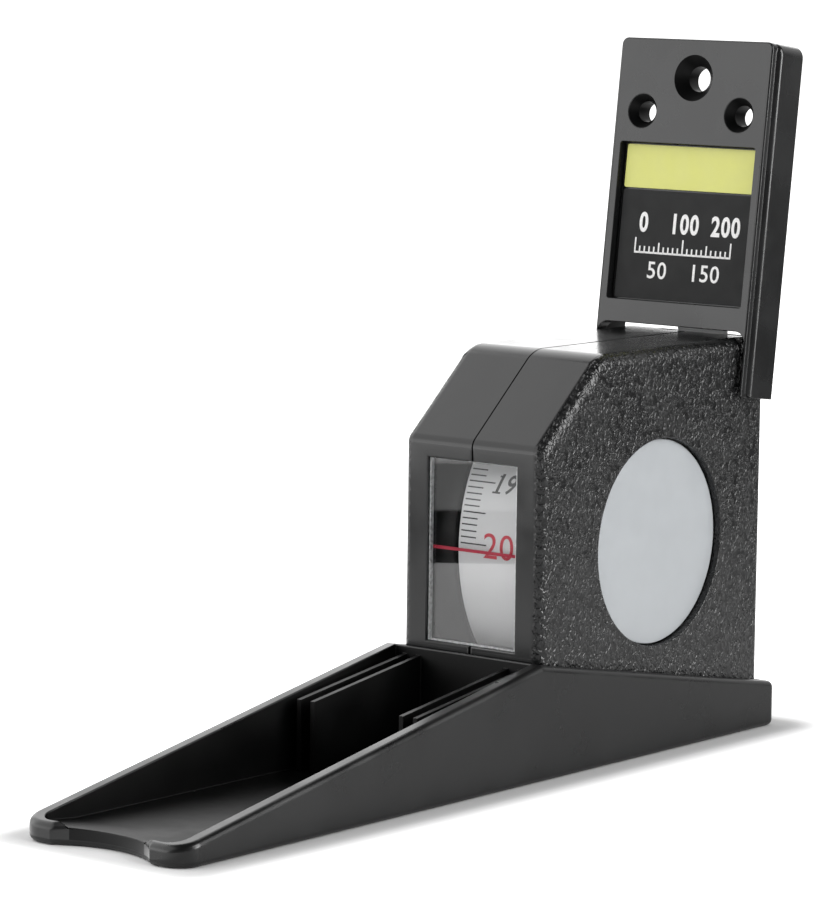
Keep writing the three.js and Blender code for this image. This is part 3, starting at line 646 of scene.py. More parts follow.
case_screw_centres = []
board_screw_centres = []
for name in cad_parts:
    low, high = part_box(name) if "screw" in name else (None, None)
    if name.startswith("case_screw"):
        case_screw_centres.append((name, (low + high) / 2))
    if name.startswith("board_screw"):
        board_screw_centres.append((name, (low + high) / 2))
screw_radius, screw_head, screw_gap = 1.1 * mm, 2.3 * mm, 0.15 * mm
head_depth, head_sink = 1.2 * mm, 0.2 * mm
boss_radius, pilot_radius, pilot_depth = 2.5 * mm, 1.25 * mm, 8 * mm
bore_radius, hub_radius = 3.1 * mm, 5.5 * mm
left_hub_end, right_hub_end = -6.3 * mm, 9.5 * mm
guide_bore, guide_socket = 1.1 * mm, 2.2 * mm
slot_gap, slot_play = 0.9 * mm, 0.35 * mm
print("case screws", len(case_screw_centres), "board screws", len(board_screw_centres))

# %% Case hollow and openings
def sides(start, end):
    """The same span on both sides of the middle, each from low to high."""
    return [sorted((side * start, side * end)) for side in (-1, 1)]


def case_hollow():
    inner_half = case_half - wall
    inner = finish_mesh("hollow", prism(drawn_in(case_corners, wall), "x", -inner_half, inner_half))
    cup = recess_radius + 1.4 * mm
    return combine(inner, [rod(cup, "x", *span, badge_centre) for span in sides(recess_back, case_half)])


def case_bosses():
    inner_half = case_half - wall + 0.5 * mm
    made = [rod(boss_radius, "x", -inner_half, inner_half, centre) for name, centre in case_screw_centres]
    root = recess_back + 0.5 * mm
    hubs = ((-root, left_hub_end), (right_hub_end, root))
    made += [rod(hub_radius, "x", *span, reel_axis) for span in hubs]
    made += [rod(guide_socket, "x", *span, guide) for span in sides(inner_half - 1.8 * mm, inner_half)]
    low, high = case_low.z + wall / 2, case_low.z + 6.5 * mm
    made += [rod(boss_radius, "z", low, high, centre) for name, centre in board_screw_centres]
    return made


def screw_bore(axis, start, length, centre):
    """The hole for a countersunk screw, from just outside the face that it enters."""
    wide, slim = screw_head + screw_gap, screw_radius + screw_gap
    profile = [
        (0, start - past), (wide, start - past), (wide, start),
        (slim, start + head_depth), (slim, start + length), (0, start + length),
    ]
    return finish_mesh("bore", turned(profile, axis, centre, 48))


def case_cuts():
    """The window, the lens's seat, the tape's slot, the bores, the badge recesses and the screw holes."""
    seat = 0.1 * mm
    guide_half = case_half - wall - 0.1 * mm
    cuts = [
        block((-window_half, case_front - past, window_low),
              (window_half, case_front + 2 * past, window_high)),
        block((lens_low.x - seat, case_front + past, lens_low.z - seat),
              (lens_high.x + seat, case_front + 3 * past, lens_high.z + seat)),
        block((lead_low.x - slot_gap, lead_low.y - slot_play, guide.z),
              (lead_high.x + slot_gap, lead_high.y + slot_play, case_top + past)),
        rod(guide_bore, "x", -guide_half, guide_half, guide),
        rod(bore_radius, "x", -recess_back, recess_back, reel_axis),
    ]
    for span in sides(recess_floor, case_half + past):
        cuts.append(finish_mesh("recess", turned(
            [(0, span[0]), (recess_radius, span[0]), (recess_radius, span[1]), (0, span[1])],
            "x", badge_centre, 160,
        )))
    cuts += [screw_bore("x", head_sink - case_half, 22 * mm, centre) for name, centre in case_screw_centres]
    cuts += [rod(pilot_radius, "z", 0, pilot_depth, centre) for name, centre in board_screw_centres]
    return cuts

# %% [markdown]
# The whole case is cut and then split by a plane a little more than a tenth of a millimetre to each
# side of the middle, which leaves the fine seam of the real one. Last, the edges of the window, the
# slot, the badge recesses and the screw holes are softened.

# %% Case halves
seam = 0.13 * mm
case = combine(case_block(), [case_hollow()])
combine(case, case_bosses(), "UNION")
combine(case, case_cuts())
cut_heights = sorted({round(centre.z, 5) for name, centre in case_screw_centres})
for side, name in ((-1, "case_shell_left"), (1, "case_shell_right")):
    work = bmesh.new()
    work.from_mesh(case.data)
    slice_off(work, (side * seam, 0, 0), (-side, 0, 0))
    clean_cuts(work, [("z", badge_centre.z)] + [("z", height) for height in cut_heights])
    soften(work, 0.3 * mm, lies_on("y", case_front))
    soften(work, 0.25 * mm, lies_on("z", case_top))
    soften(work, 0.22 * mm, lies_on("x", case_half, both_sides=True))
    half = finish_mesh(name, work)
    weigh_normals(half)
    dress(half, case_black, "case", ["case_left" if side < 0 else "case_right"])
bpy.data.objects.remove(case)

# %% [markdown]
# Head board
#
# The board is a wedge-shaped dish. Its plan, with the finger notch as a flat arc, is pulled
# up into a prism, two planes slope its top, and a cutter hollows it. Ribs stand in the two rear corners
# of the dish, and a cross wall closes it in front of the case.

# %% Board sizes
board_rear = board_high.y
board_half, board_front = board_high.x + 0.4 * mm, board_low.y - 1.5 * mm
well_half, dish_half = case_half + 0.25 * mm, 13.45 * mm
cross_wall, lip_width = 1.5 * mm, 1.5 * mm
floor_top, lip_floor = 2.0 * mm, 2.8 * mm
tip_height, peak_height, heel_height = 3.2 * mm, 18.4 * mm, 7.3 * mm
edge_round = 1.0 * mm
well_front = case_front - 0.3 * mm
peak_y = well_front - cross_wall
rib_length, rib_thickness = 26 * mm, 0.8 * mm
notch_width, notch_depth, notch_steps = 19.4 * mm, 3.3 * mm, 32


def edge_height(y):
    """Height of the sloping side walls."""
    return tip_height + (y - board_front) * (peak_height - tip_height) / (peak_y - board_front)


def lowest(edge):
    return min(vert.co.z for vert in edge.verts)


def round_corners(work, y, radius, segments=8):
    chosen = [edge for edge in work.edges if runs_along("z")(edge) and near("y", y)(edge)]
    outer = [edge for edge in chosen if abs(edge.verts[0].co.x) > notch_width / 2 + past]
    bevel_edges(work, outer, radius, segments)

# %% Board blank, dish and ribs
def board_blank():
    notch_radius = (notch_width ** 2 / 4 + notch_depth ** 2) / (2 * notch_depth)
    notch = []
    for step in range(notch_steps + 1):
        across = (step / notch_steps - 0.5) * notch_width
        rise = math.sqrt(notch_radius ** 2 - across ** 2) - (notch_radius - notch_depth)
        notch.append((across, board_front + max(rise, 0)))
    plan = [
        (-board_half, board_front), *notch, (board_half, board_front),
        (board_half, board_rear), (-board_half, board_rear),
    ]
    work = prism(plan, "z", 0.0, peak_height + past)
    round_corners(work, board_front, 4.0 * mm)
    round_corners(work, board_rear, 1.6 * mm)
    front_slope = Vector((0, tip_height - peak_height, peak_y - board_front))
    rear_slope = Vector((0, peak_height - heel_height, board_rear - peak_y))
    slice_off(work, (0, board_front, tip_height), front_slope.normalized())
    slice_off(work, (0, board_rear, heel_height), rear_slope.normalized())
    clean_cuts(work, [])
    soften(work, edge_round, lies_on("z", 0.0), segments=4)
    under_tip = tip_height - 0.3 * mm
    soften(work, edge_round, lambda edge: lowest(edge) > under_tip, segments=6, limit=60)
    return finish_mesh("board", work)


def board_dish():
    """What the dish takes out: its plan, kept where the side view of its floor allows."""
    front = board_front + lip_width
    side_view = [
        (front - 3 * past, lip_floor), (front, lip_floor), (front + 8 * mm, floor_top), (peak_y, floor_top),
        (peak_y, peak_height + 3 * past), (front - 3 * past, peak_height + 3 * past),
    ]
    plan = prism(rectangle((-dish_half, front), (dish_half, peak_y)), "z", 0.0, peak_height + 2 * past)
    round_corners(plan, front, 2.5 * mm)
    cutter = finish_mesh("side_view", prism(side_view, "x", -board_half, board_half))
    return combine(cutter, [finish_mesh("plan", plan)], "INTERSECT")


def board_ribs():
    """Two upright ribs along each side of the dish's rear. Their tops drop below the side walls."""
    tip, root = peak_y - rib_length, peak_y + 0.5 * mm
    under = floor_top - 0.5 * mm
    side_view = [
        (tip, under), (root, under),
        (root, edge_height(peak_y) - 1.2 * mm), (tip, edge_height(tip) - 0.4 * mm),
    ]
    made = []
    for from_wall in (2.2 * mm, 4.9 * mm):
        outside = well_half - from_wall
        for span in sides(outside - rib_thickness, outside):
            made.append(finish_mesh("rib", prism(side_view, "x", *span)))
    return made

# %% Head board
well = block((-well_half, well_front, floor_top), (well_half, case_back + 0.3 * mm, peak_height + past))
board = combine(board_blank(), [board_dish(), well])
combine(board, board_ribs(), "UNION")
combine(board, [screw_bore("z", head_sink, 4 * mm, centre) for name, centre in board_screw_centres])
work = reopen(board)
ribs_front = peak_y - rib_length - 1 * mm
cut_depths = (ribs_front, peak_y + cross_wall / 2, board_rear - past)
clean_cuts(work, [("x", 0.0)] + [("y", depth) for depth in cut_depths])


def can_soften(edge):
    """Leaves the underside and the thin ribs crisp."""
    middle = (edge.verts[0].co + edge.verts[1].co) / 2
    along = ribs_front < middle.y < peak_y - 0.2 * mm
    on_rib = abs(middle.x) < well_half - 1.9 * mm and along and middle.z > floor_top
    return max(vert.co.z for vert in edge.verts) > 0.6 * mm and not on_rib


print("board edges softened:", soften(work, 0.22 * mm, can_soften))
board_shell = finish_mesh("board_shell", work)
weigh_normals(board_shell)
dress(board_shell, board_black, "case", ["head_board"])


def inside_dish(place):
    along = board_front + lip_width < place.y < peak_y + 0.05 * mm
    across = abs(place.x) < dish_half + 0.05 * mm
    return along and across and 1 * mm < place.z < edge_height(place.y) - 0.35 * mm


# The inside of the dish takes the second finish: its darker colour is painted shade in the hollow, its
# roughness and low shine are the finish.
dress_part(board_shell, dull_black, inside_dish)

# %% [markdown]
# Wall bracket
#
# The bracket is made upright, with its depth along y and its height along z from the foot of its front
# panel, and leaned back at the end. The panel stands before two rails that run on below as ears and
# straddle the case. Its back is hollow, with two lugs for the pin that the tape hangs on, a tube behind
# each screw hole and a bar that joins the rails just above the case.

# %% Bracket sizes
lean = math.radians(7.2)
pin_depth, pin_up = 5.5 * mm, 10.5 * mm
pin_centre = (pin_low + pin_high) / 2
bracket_turn = Matrix.Rotation(-lean, 4, "X")
foot = Vector((0, pin_centre.y, pin_centre.z)) - bracket_turn @ Vector((0, pin_depth, pin_up))
bracket_place = Matrix.Translation(foot) @ bracket_turn
panel_half, rail_half, rail_inner = 15.2 * mm, 15.95 * mm, 14.85 * mm
panel_step, plate_thickness, bracket_depth = 1.2 * mm, 2.5 * mm, 8.0 * mm
plate_top, ear_foot = 47.5 * mm, -10.6 * mm
pocket_half, pocket_low, pocket_high, pocket_depth = 13.55 * mm, 3.85 * mm, 30.1 * mm, 1.7 * mm
wall_holes = [  # across, up, hole radius, countersink radius, countersink depth
    (0.0, 41.1 * mm, 2.1 * mm, 3.85 * mm, 1.9 * mm),
    (-9.7 * mm, 35.3 * mm, 1.75 * mm, 2.9 * mm, 1.5 * mm),
    (9.7 * mm, 35.3 * mm, 1.75 * mm, 2.9 * mm, 1.5 * mm),
]
pin_bore = 1.1 * mm
boss_depth, bar_low, bar_high = 4.6 * mm, 0.35 * mm, 3.0 * mm
lug_spans = [
    (hook_low.x - 1.7 * mm, hook_low.x - 0.4 * mm),
    (hook_high.x + 0.4 * mm, hook_high.x + 1.7 * mm),
]
print("bracket foot at", [round(value / mm, 2) for value in foot])

# %% Bracket pieces
def slab(half, low, high, front, rear, corner, front_round):
    """A slab with rounded top corners and a rounded front edge."""
    work = prism(rectangle((-half, low), (half, high)), "y", front, rear)
    top = [edge for edge in work.edges if runs_along("y")(edge) and near("z", high)(edge)]
    bevel_edges(work, top, corner, 6)
    soften(work, front_round, lies_on("y", front), segments=4)
    return finish_mesh("slab", work)


def bracket_openings():
    """The gap between the ears, the label's pocket and the hollow back."""
    behind = bracket_depth + past
    ears_foot, ears_top = (-rail_inner, ear_foot - past), (rail_inner, 0.0)
    cutout = prism(rectangle(ears_foot, ears_top), "y", -past, behind)
    top = [edge for edge in cutout.edges if runs_along("y")(edge) and near("z", 0.0)(edge)]
    bevel_edges(cutout, top, 2.0 * mm, 6)
    outline = rectangle((-pocket_half, pocket_low), (pocket_half, pocket_high))
    pocket = prism(outline, "y", -past, pocket_depth)
    bevel_edges(pocket, [edge for edge in pocket.edges if runs_along("y")(edge)], 0.4 * mm, 4)
    outline = rectangle(ears_foot, (rail_inner, plate_top - 1.5 * mm))
    hollow = prism(outline, "y", plate_thickness, behind)
    return [finish_mesh("cutout", cutout), finish_mesh("pocket", pocket), finish_mesh("hollow", hollow)]


def bracket_holes():
    cuts = []
    for across, height, hole, sink, depth in wall_holes:
        profile = [
            (0, -past), (sink, -past), (sink, 0), (hole, depth), (hole, boss_depth + past),
            (0, boss_depth + past),
        ]
        cuts.append(finish_mesh("hole", turned(profile, "y", (across, 0, height), 64)))
    return cuts


def bracket_backing():
    """A tube behind each screw hole, and a bar between the rails just over the case's top."""
    made = [
        rod(hole + 1.4 * mm, "y", plate_thickness - 0.5 * mm, boss_depth, (across, 0, height), 48)
        for across, height, hole, sink, depth in wall_holes
    ]
    side, bar_front, bar_back = rail_inner + 0.5 * mm, bracket_depth - 2.0 * mm, bracket_depth - 0.5 * mm
    made.append(block((-side, bar_front, bar_low), (side, bar_back, bar_high)))
    return made


def bracket_lugs():
    radius = 2.0 * mm
    made = []
    for left, right in lug_spans:
        low = (left, plate_thickness - 0.5 * mm, pin_up - radius)
        made.append(block(low, (right, pin_depth, pin_up + radius)))
        made.append(rod(radius, "x", left, right, (0, pin_depth, pin_up), 48))
    return made

# %% Wall bracket
bracket = slab(
    rail_half, ear_foot, plate_top, front=panel_step, rear=bracket_depth,
    corner=1.95 * mm, front_round=1.0 * mm,
)
panel = slab(
    panel_half, ear_foot, plate_top, front=0.0, rear=panel_step + 0.5 * mm,
    corner=1.2 * mm, front_round=0.3 * mm,
)
combine(bracket, [panel], "UNION")
combine(bracket, bracket_openings())
combine(bracket, bracket_backing() + bracket_lugs(), "UNION")
combine(bracket, bracket_holes())
combine(bracket, [rod(pin_bore, "x", -rail_inner, rail_inner, (0, pin_depth, pin_up), 48)])
work = reopen(bracket)
clean_cuts(work, [("x", hole[0]) for hole in wall_holes])
print("bracket edges softened:", soften(work, 0.13 * mm))
bmesh.ops.transform(work, matrix=bracket_place, verts=work.verts)
bracket_shell = finish_mesh("bracket_shell", work)
weigh_normals(bracket_shell)
dress(bracket_shell, bracket_black, "bracket", ["wall_plate"])


def inside_hole(place):
    here = bracket_place.inverted() @ place
    return 0.2 * mm < here.y < boss_depth and any(
        math.hypot(here.x - across, here.z - height) < sink
        for across, height, hole, sink, depth in wall_holes
    )


# The screw holes take the same finish: its darker colour is painted shade in the holes.
dress_part(bracket_shell, dull_black, inside_hole)

# %% [markdown]
# Lens and badges
#
# The lens is a plate with a wider flange behind the front wall. Each badge is a thin disc with a
# rounded rim, which catches a fine line of light, and it stays blank.

# %% Lens
lens_step = case_front + 1.1 * mm
flange = lens_reach - 0.1 * mm
lens_face = block(lens_low + Vector((flange, 0, flange)), lens_high - Vector((flange, 0, flange)))
combine(lens_face, [block((lens_low.x, lens_step, lens_low.z), lens_high)], "UNION")
work = reopen(lens_face)
clean_cuts(work, [])
soften(work, 0.12 * mm, lies_on("y", lens_low.y))
lens = finish_mesh("window_pane", work)
weigh_normals(lens)
dress(lens, clear_acrylic, "case", ["window_lens"])

# %% Badges
def badge(name):
    low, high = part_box(name)
    radius = (high.z - low.z) / 2
    inner, outer = (low.x, high.x) if low.x > 0 else (high.x, low.x)
    outward = 1 if low.x > 0 else -1
    chamfer, round_by, round_steps = 0.05 * mm, 0.16 * mm, 4
    profile = [(0, inner), (radius - chamfer, inner), (radius, inner + outward * chamfer)]
    for step in range(round_steps + 1):
        angle = math.pi / 2 * step / round_steps
        profile.append((
            radius - round_by + round_by * math.cos(angle),
            outer - outward * (round_by - round_by * math.sin(angle)),
        ))
    profile.append((0, outer))
    disc = finish_mesh(name.replace("badge", "badge_disc"), turned(profile, "x", (low + high) / 2, 160))
    weigh_normals(disc)
    dress(disc, badge_grey, "case", [name])


badge("badge_left")
badge("badge_right")

# %% [markdown]
# Reel
#
# The cover is a cup whose broad rim shows black beside the tape, and its profile is spun. The coil's
# outer layer steps down by one tape thickness in a turn, so its section is a spiral and not a circle.

# %% Reel cover
skirt_inner = rim_radius - 1.2 * mm
cover_inner = coil_low.x - 0.3 * mm
cover_outer = cover_inner - 1.1 * mm
coil_depth, drum_wall, spigot_gap = 2.2 * mm, 1.6 * mm, 0.2 * mm
spigot_outer = coil_radius - coil_depth - drum_wall - spigot_gap
hub_rise = cover_inner + 0.8 * mm
ease = 0.25 * mm
cover_profile = [
    (bore_radius, cover_outer),
    (skirt_inner, cover_outer),
    (skirt_inner, cover_low.x + ease),
    (skirt_inner + ease, cover_low.x),
    (rim_radius - ease, cover_low.x),
    (rim_radius, cover_low.x + ease),
    (rim_radius, cover_inner - ease),
    (rim_radius - ease, cover_inner),
    (spigot_outer, cover_inner),
    (spigot_outer, cover_high.x),
    (spigot_outer - 1 * mm, cover_high.x),
    (spigot_outer - 1 * mm, cover_inner),
    (hub_radius, cover_inner),
    (hub_radius, hub_rise),
    (bore_radius, hub_rise),
]
cover = finish_mesh("reel_cup", turned(cover_profile, "x", reel_axis, 160, closed=True))
weigh_normals(cover)
dress(cover, reel_black, "reel", ["reel_cover"])

# %% Tape on the drum
tape_thickness = 0.15 * mm
coil_core = coil_radius - 2.0 * mm
coil_steps = 256


def coil_outer(turn):
    """Radius of the outer layer, for a share of a turn from the rear over the top."""
    return coil_radius - tape_thickness * (1 - turn)


outline = []
for step in range(coil_steps + 1):
    turn = step / coil_steps
    spoke = Vector((math.cos(math.tau * turn), math.sin(math.tau * turn)))
    outline.append(Vector((axis_y, axis_z)) + spoke * coil_outer(turn))
coil = finish_mesh("coil", prism(outline, "x", coil_low.x, coil_high.x))
combine(coil, [rod(coil_core, "x", coil_low.x - past, coil_high.x + past, reel_axis, 128)])
coil.name = "coiled_tape"
weigh_normals(coil)
dress(coil, tape_white, "reel", ["tape_coil"])

# %% [markdown]
# Printed scale
#
# The scale is drawn flat first: x runs across the tape, y up along it from the crimson line, and z is
# the thickness of the ink. Straight cuts every half millimetre let it bend, and then each point is
# wrapped round the coil. The numbers fall towards the rear, because pulling the board down brings
# smaller heights to the line.

# %% Flat print
ink_thickness = 0.02 * mm
glyph_width = 1.32
one_foot = ((-0.26, 0.0), (0.26, 0.09))
one_flag = ((-0.2, 0.82), (0.0, 0.91))


def add_bar(work, low, high, thickness=ink_thickness):
    made = bmesh.ops.create_cube(work, size=1.0)["verts"]
    size = (high[0] - low[0], high[1] - low[1], thickness)
    middle = ((low[0] + high[0]) / 2, (low[1] + high[1]) / 2, thickness / 2)
    bmesh.ops.transform(work, matrix=Matrix.Translation(middle) @ Matrix.Diagonal((*size, 1)), verts=made)


def digit_mesh(letter, weight):
    """One digit of the built-in font, a unit tall, as a flat mesh standing on its base line."""
    curve = bpy.data.curves.new("digit", "FONT")
    curve.body = letter
    curve.align_x = "CENTER"
    curve.resolution_u = 6
    curve.offset = weight
    source = bpy.data.objects.new("digit", curve)
    bpy.context.scene.collection.objects.link(source)
    graph = bpy.context.evaluated_depsgraph_get()
    mesh = bpy.data.meshes.new_from_object(source.evaluated_get(graph))
    bpy.data.objects.remove(source)
    low = min(vert.co.y for vert in mesh.vertices)
    high = max(vert.co.y for vert in mesh.vertices)
    mesh.transform(Matrix.Scale(1 / (high - low), 4) @ Matrix.Translation((0, -low, 0)))
    return mesh


def add_text(work, text, middle, height, pitch, slant=0.0, weight=0.0, footed=False):
    """Digits of a given height, a pitch apart and centred on a point, as thin closed solids."""
    shear = Matrix.Identity(4)
    shear[0][1] = slant
    for index, letter in enumerate(text):
        glyph = bmesh.new()
        mesh = digit_mesh(letter, weight)
        glyph.from_mesh(mesh)
        bpy.data.meshes.remove(mesh)
        moved = bmesh.ops.extrude_face_region(glyph, geom=glyph.faces[:])["geom"]
        raised = [item for item in moved if isinstance(item, bmesh.types.BMVert)]
        bmesh.ops.translate(glyph, vec=(0, 0, 1), verts=raised)
        if footed and letter == "1":
            add_bar(glyph, *one_foot, thickness=1)
            add_bar(glyph, *one_flag, thickness=1)
        across = middle[0] + (index - (len(text) - 1) / 2) * pitch
        place = Matrix.Translation((across, middle[1] - height / 2, 0))
        stretch = Matrix.Diagonal((pitch * glyph_width, height, ink_thickness, 1))
        bmesh.ops.transform(glyph, matrix=place @ shear @ stretch, verts=glyph.verts)
        joined = bpy.data.meshes.new("digit")
        glyph.to_mesh(joined)
        glyph.free()
        work.from_mesh(joined)
        bpy.data.meshes.remove(joined)

# %% Wrap the print round the coil
def wrap(work, lowest, highest, lift=0.01 * mm, spacing=0.5 * mm):
    bmesh.ops.remove_doubles(work, verts=work.verts, dist=1e-8)
    for index in range(int((highest - lowest) / spacing) + 1):
        cut_across(work, (0, lowest + index * spacing, 0), unit("y"), reach=1e-8)
    for vert in work.verts:
        turn = 0.5 - vert.co.y / (math.tau * coil_radius)
        radius = coil_outer(turn) + lift + vert.co.z
        angle = math.tau * turn
        vert.co = (vert.co.x, axis_y + radius * math.cos(angle), axis_z + radius * math.sin(angle))


full_height_mark = 0.9 * mm
tape_margin = 0.4 * mm
tick_thickness = 0.22 * mm
tick_length, five_length, ten_length = 3.0 * mm, 4.4 * mm, 5.1 * mm
marks_shown = 84
digits_middle, red_shift = coil_low.x + 8.3 * mm, 1.2 * mm


def scale_tick(work, index):
    up_tape = full_height_mark + index * mm
    length = ten_length if index % 10 == 0 else five_length if index % 5 == 0 else tick_length
    left = coil_low.x + tape_margin
    add_bar(work, (left, up_tape - tick_thickness / 2), (left + length, up_tape + tick_thickness / 2))


black_marks = bmesh.new()
for index in range(marks_shown):
    scale_tick(black_marks, index)
for index in range(10, marks_shown, 10):
    add_text(
        black_marks, str(200 - index // 10), (digits_middle, full_height_mark + index * mm),
        height=3.3 * mm, pitch=2.25 * mm, slant=0.25, weight=0.015, footed=True,
    )
wrap(black_marks, 0.0, 87 * mm)
marks = finish_mesh("scale_marks_black", black_marks)
dress(marks, black_ink, "reel")

red_marks = bmesh.new()
red_middle = (digits_middle + red_shift, full_height_mark)
add_text(red_marks, "200", red_middle, height=4.0 * mm, pitch=3.2 * mm)
wrap(red_marks, -4 * mm, 5 * mm)
marks = finish_mesh("scale_marks_red", red_marks)
dress(marks, red_ink, "reel")

# %% [markdown]
# Free tape and its hook
#
# From the coil's rear the tape goes straight up through the slot to a steel hook. Between the case and
# the hook it is cut across into short steps, and the taper and the rivets stay above these.

# %% Free tape
taper_start, taper_end = guide.z, guide.z + 3 * mm
work = prism([
    (lead_low.x, lead_low.z), (lead_high.x, lead_low.z), (lead_high.x, taper_start),
    (hook_high.x, taper_end), (hook_high.x, lead_high.z), (hook_low.x, lead_high.z),
    (hook_low.x, taper_end), (lead_low.x, taper_start),
], "y", lead_low.y, lead_high.y)
stretch_low, stretch_high = lead_low.z + 4.7 * mm, taper_start - 3 * mm
stretch_steps = 36
for step in range(stretch_steps + 1):
    height = stretch_low + (stretch_high - stretch_low) * step / stretch_steps
    cut_across(work, (0, 0, height), unit("z"), reach=1e-8)
free_tape = finish_mesh("free_tape", work)
dress(free_tape, tape_white, replaced=["tape_lead"])
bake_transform(free_tape)

# %% Hook, rivets and pin
knuckle_radius = hook_high.z - pin_centre.z
leaf_front = min(hook_low.y, pin_centre.y - knuckle_radius)
leaf_back = leaf_front + 0.5 * mm
knuckle = rod(knuckle_radius, "x", hook_low.x, hook_high.x, pin_centre, 64)
leaf = block((hook_low.x, leaf_front, hook_low.z), (hook_high.x, leaf_back, pin_centre.z))
combine(knuckle, [leaf], "UNION")
rivets = [("tape_rivet_1", *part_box("tape_rivet_1")), ("tape_rivet_2", *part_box("tape_rivet_2"))]
holes = [rod(pin_bore, "x", hook_low.x - past, hook_high.x + past, pin_centre, 48)]
for name, low, high in rivets:
    holes.append(rod(0.9 * mm, "y", leaf_front - past, leaf_back + past, (low + high) / 2, 32))
combine(knuckle, holes)
work = reopen(knuckle)
clean_cuts(work, [("z", (rivets[0][1].z + rivets[0][2].z) / 2)])
soften(work, 0.08 * mm, segments=2)
hook = finish_mesh("hook", work)
weigh_normals(hook)
dress(hook, hook_steel, "tape_end", ["tape_hook"])


def rivet(name, low, high):
    radius, shank, head = (high.z - low.z) / 2, 0.8 * mm, 0.5 * mm
    angles = [math.pi / 2 * step / 5 for step in range(6)]
    half_round = [(math.sin(angle), math.cos(angle)) for angle in angles]
    front = [(radius * across, low.y + head * (1 - rise)) for across, rise in half_round]
    rear = [(radius * across, high.y - head * (1 - rise)) for across, rise in reversed(half_round)]
    profile = front + [(shank, low.y + head), (shank, high.y - head)] + rear
    made = finish_mesh(name.replace("tape_", ""), turned(profile, "y", (low + high) / 2, 32))
    dress(made, zinc_steel, "tape_end", [name])


for name, low, high in rivets:
    rivet(name, low, high)

pin_radius = (pin_high.z - pin_low.z) / 2
chamfer = 0.2 * mm
pin_profile = [
    (0, pin_low.x), (pin_radius - chamfer, pin_low.x), (pin_radius, pin_low.x + chamfer),
    (pin_radius, pin_high.x - chamfer), (pin_radius - chamfer, pin_high.x), (0, pin_high.x),
]
pin = finish_mesh("hanging_pin", turned(pin_profile, "x", pin_centre, 48))
weigh_normals(pin)
dress(pin, zinc_steel, "bracket", ["bracket_pin"])

# %% [markdown]
# Label
#
# A dark card under a yellow strip lies in the bracket's pocket. The card carries one short ruler with
# plain numbers above and below it, a generic print of its size. Everything is made upright in the
# bracket's own frame and leaned with it.

# %% Label card and strip
label_half, label_left = pocket_half - 0.3 * mm, pocket_half - 0.8 * mm
label_front, label_back = 1.0 * mm, 1.4 * mm
strip_high = pocket_high - 0.3 * mm
strip_low = strip_high - 7.25 * mm
card_high, card_low = strip_low - 0.3 * mm, pocket_low + 0.3 * mm


def label_piece(name, low, high, finish, replaced):
    work = prism(rectangle((-label_left, low), (label_half, high)), "y", label_front, label_back)
    bevel_edges(work, [edge for edge in work.edges if runs_along("y")(edge)], 0.35 * mm, 4)
    soften(work, 0.06 * mm, lies_on("y", label_front), segments=2)
    bmesh.ops.transform(work, matrix=bracket_place, verts=work.verts)
    made = finish_mesh(name, work)
    weigh_normals(made)
    dress(made, finish, "bracket", [replaced])


label_piece("yellow_strip", strip_low, strip_high, label_yellow, "label_strip")
label_piece("dark_card", card_low, card_high, label_black, "label_card")

# %% Ruler on the card
card_middle = (card_low + card_high) / 2
card_centre = (label_half - label_left) / 2
ruler_half, ruler_line, ruler_tick = 9.6 * mm, 0.32 * mm, 0.28 * mm
ruler_up = card_middle - 1.5 * mm
upper_squeeze = 0.86
print_marks = bmesh.new()
add_bar(
    print_marks, (card_centre - ruler_half, ruler_up), (card_centre + ruler_half, ruler_up + ruler_line),
)
for index in range(21):
    across = card_centre + ruler_half * (index / 10 - 1)
    length = 2.6 * mm if index % 10 == 0 else 1.9 * mm if index % 5 == 0 else 1.2 * mm
    low, high = (across - ruler_tick / 2, ruler_up), (across + ruler_tick / 2, ruler_up + length)
    add_bar(print_marks, low, high)
for number in (0, 100, 200):
    middle = (card_centre + ruler_half * (number / 100 - 1) * upper_squeeze, ruler_up + 5.2 * mm)
    add_text(print_marks, str(number), middle, height=3.4 * mm, pitch=2.0 * mm, weight=0.03)
for number in (50, 150):
    middle = (card_centre + ruler_half * (number / 100 - 1), ruler_up - 2.7 * mm)
    add_text(print_marks, str(number), middle, height=2.8 * mm, pitch=2.1 * mm, weight=0.008)
lying_flat = Matrix.Rotation(math.pi / 2, 4, "X")
onto_card = bracket_place @ Matrix.Translation((0, label_front - 0.01 * mm, 0)) @ lying_flat
bmesh.ops.transform(print_marks, matrix=onto_card, verts=print_marks.verts)
card_print = finish_mesh("card_print", print_marks)
dress(card_print, white_ink, "bracket")

# %% [markdown]
# Screws
#
# Eight countersunk screws with a low dome and a cross recess: four across the case from its left side,
# and four up through the board. A spun profile makes the body and two crossed blocks cut the recess.

# %% Screws
def screw(name, axis):
    low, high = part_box(name)
    centre = (low + high) / 2
    start = low["xyz".index(axis)]
    end = high["xyz".index(axis)]
    profile = [
        (0, start), (1.2 * mm, start + 0.06 * mm), (1.8 * mm, start + 0.22 * mm),
        (2.15 * mm, start + 0.42 * mm), (screw_head, start + 0.62 * mm), (screw_head, start + 0.72 * mm),
        (screw_radius, start + head_depth + 0.2 * mm), (screw_radius, end - screw_radius), (0, end),
    ]
    body = finish_mesh(name.replace("screw", "screw_turned"), turned(profile, axis, centre, 48))
    arm, slim, depth = 1.5 * mm, 0.43 * mm, 0.85 * mm
    first, second = (unit(name) for name in "xyz" if name != axis)
    flat_centre = centre - unit(axis) * centre.dot(unit(axis))
    recesses = []
    for wide, narrow in ((arm, slim), (slim, arm)):
        reach = first * wide + second * narrow
        near_corner = flat_centre - reach + unit(axis) * (start - past)
        recesses.append(block(near_corner, flat_centre + reach + unit(axis) * (start + depth)))
    combine(body, recesses)
    weigh_normals(body)
    dress(body, zinc_steel, "case", [name])


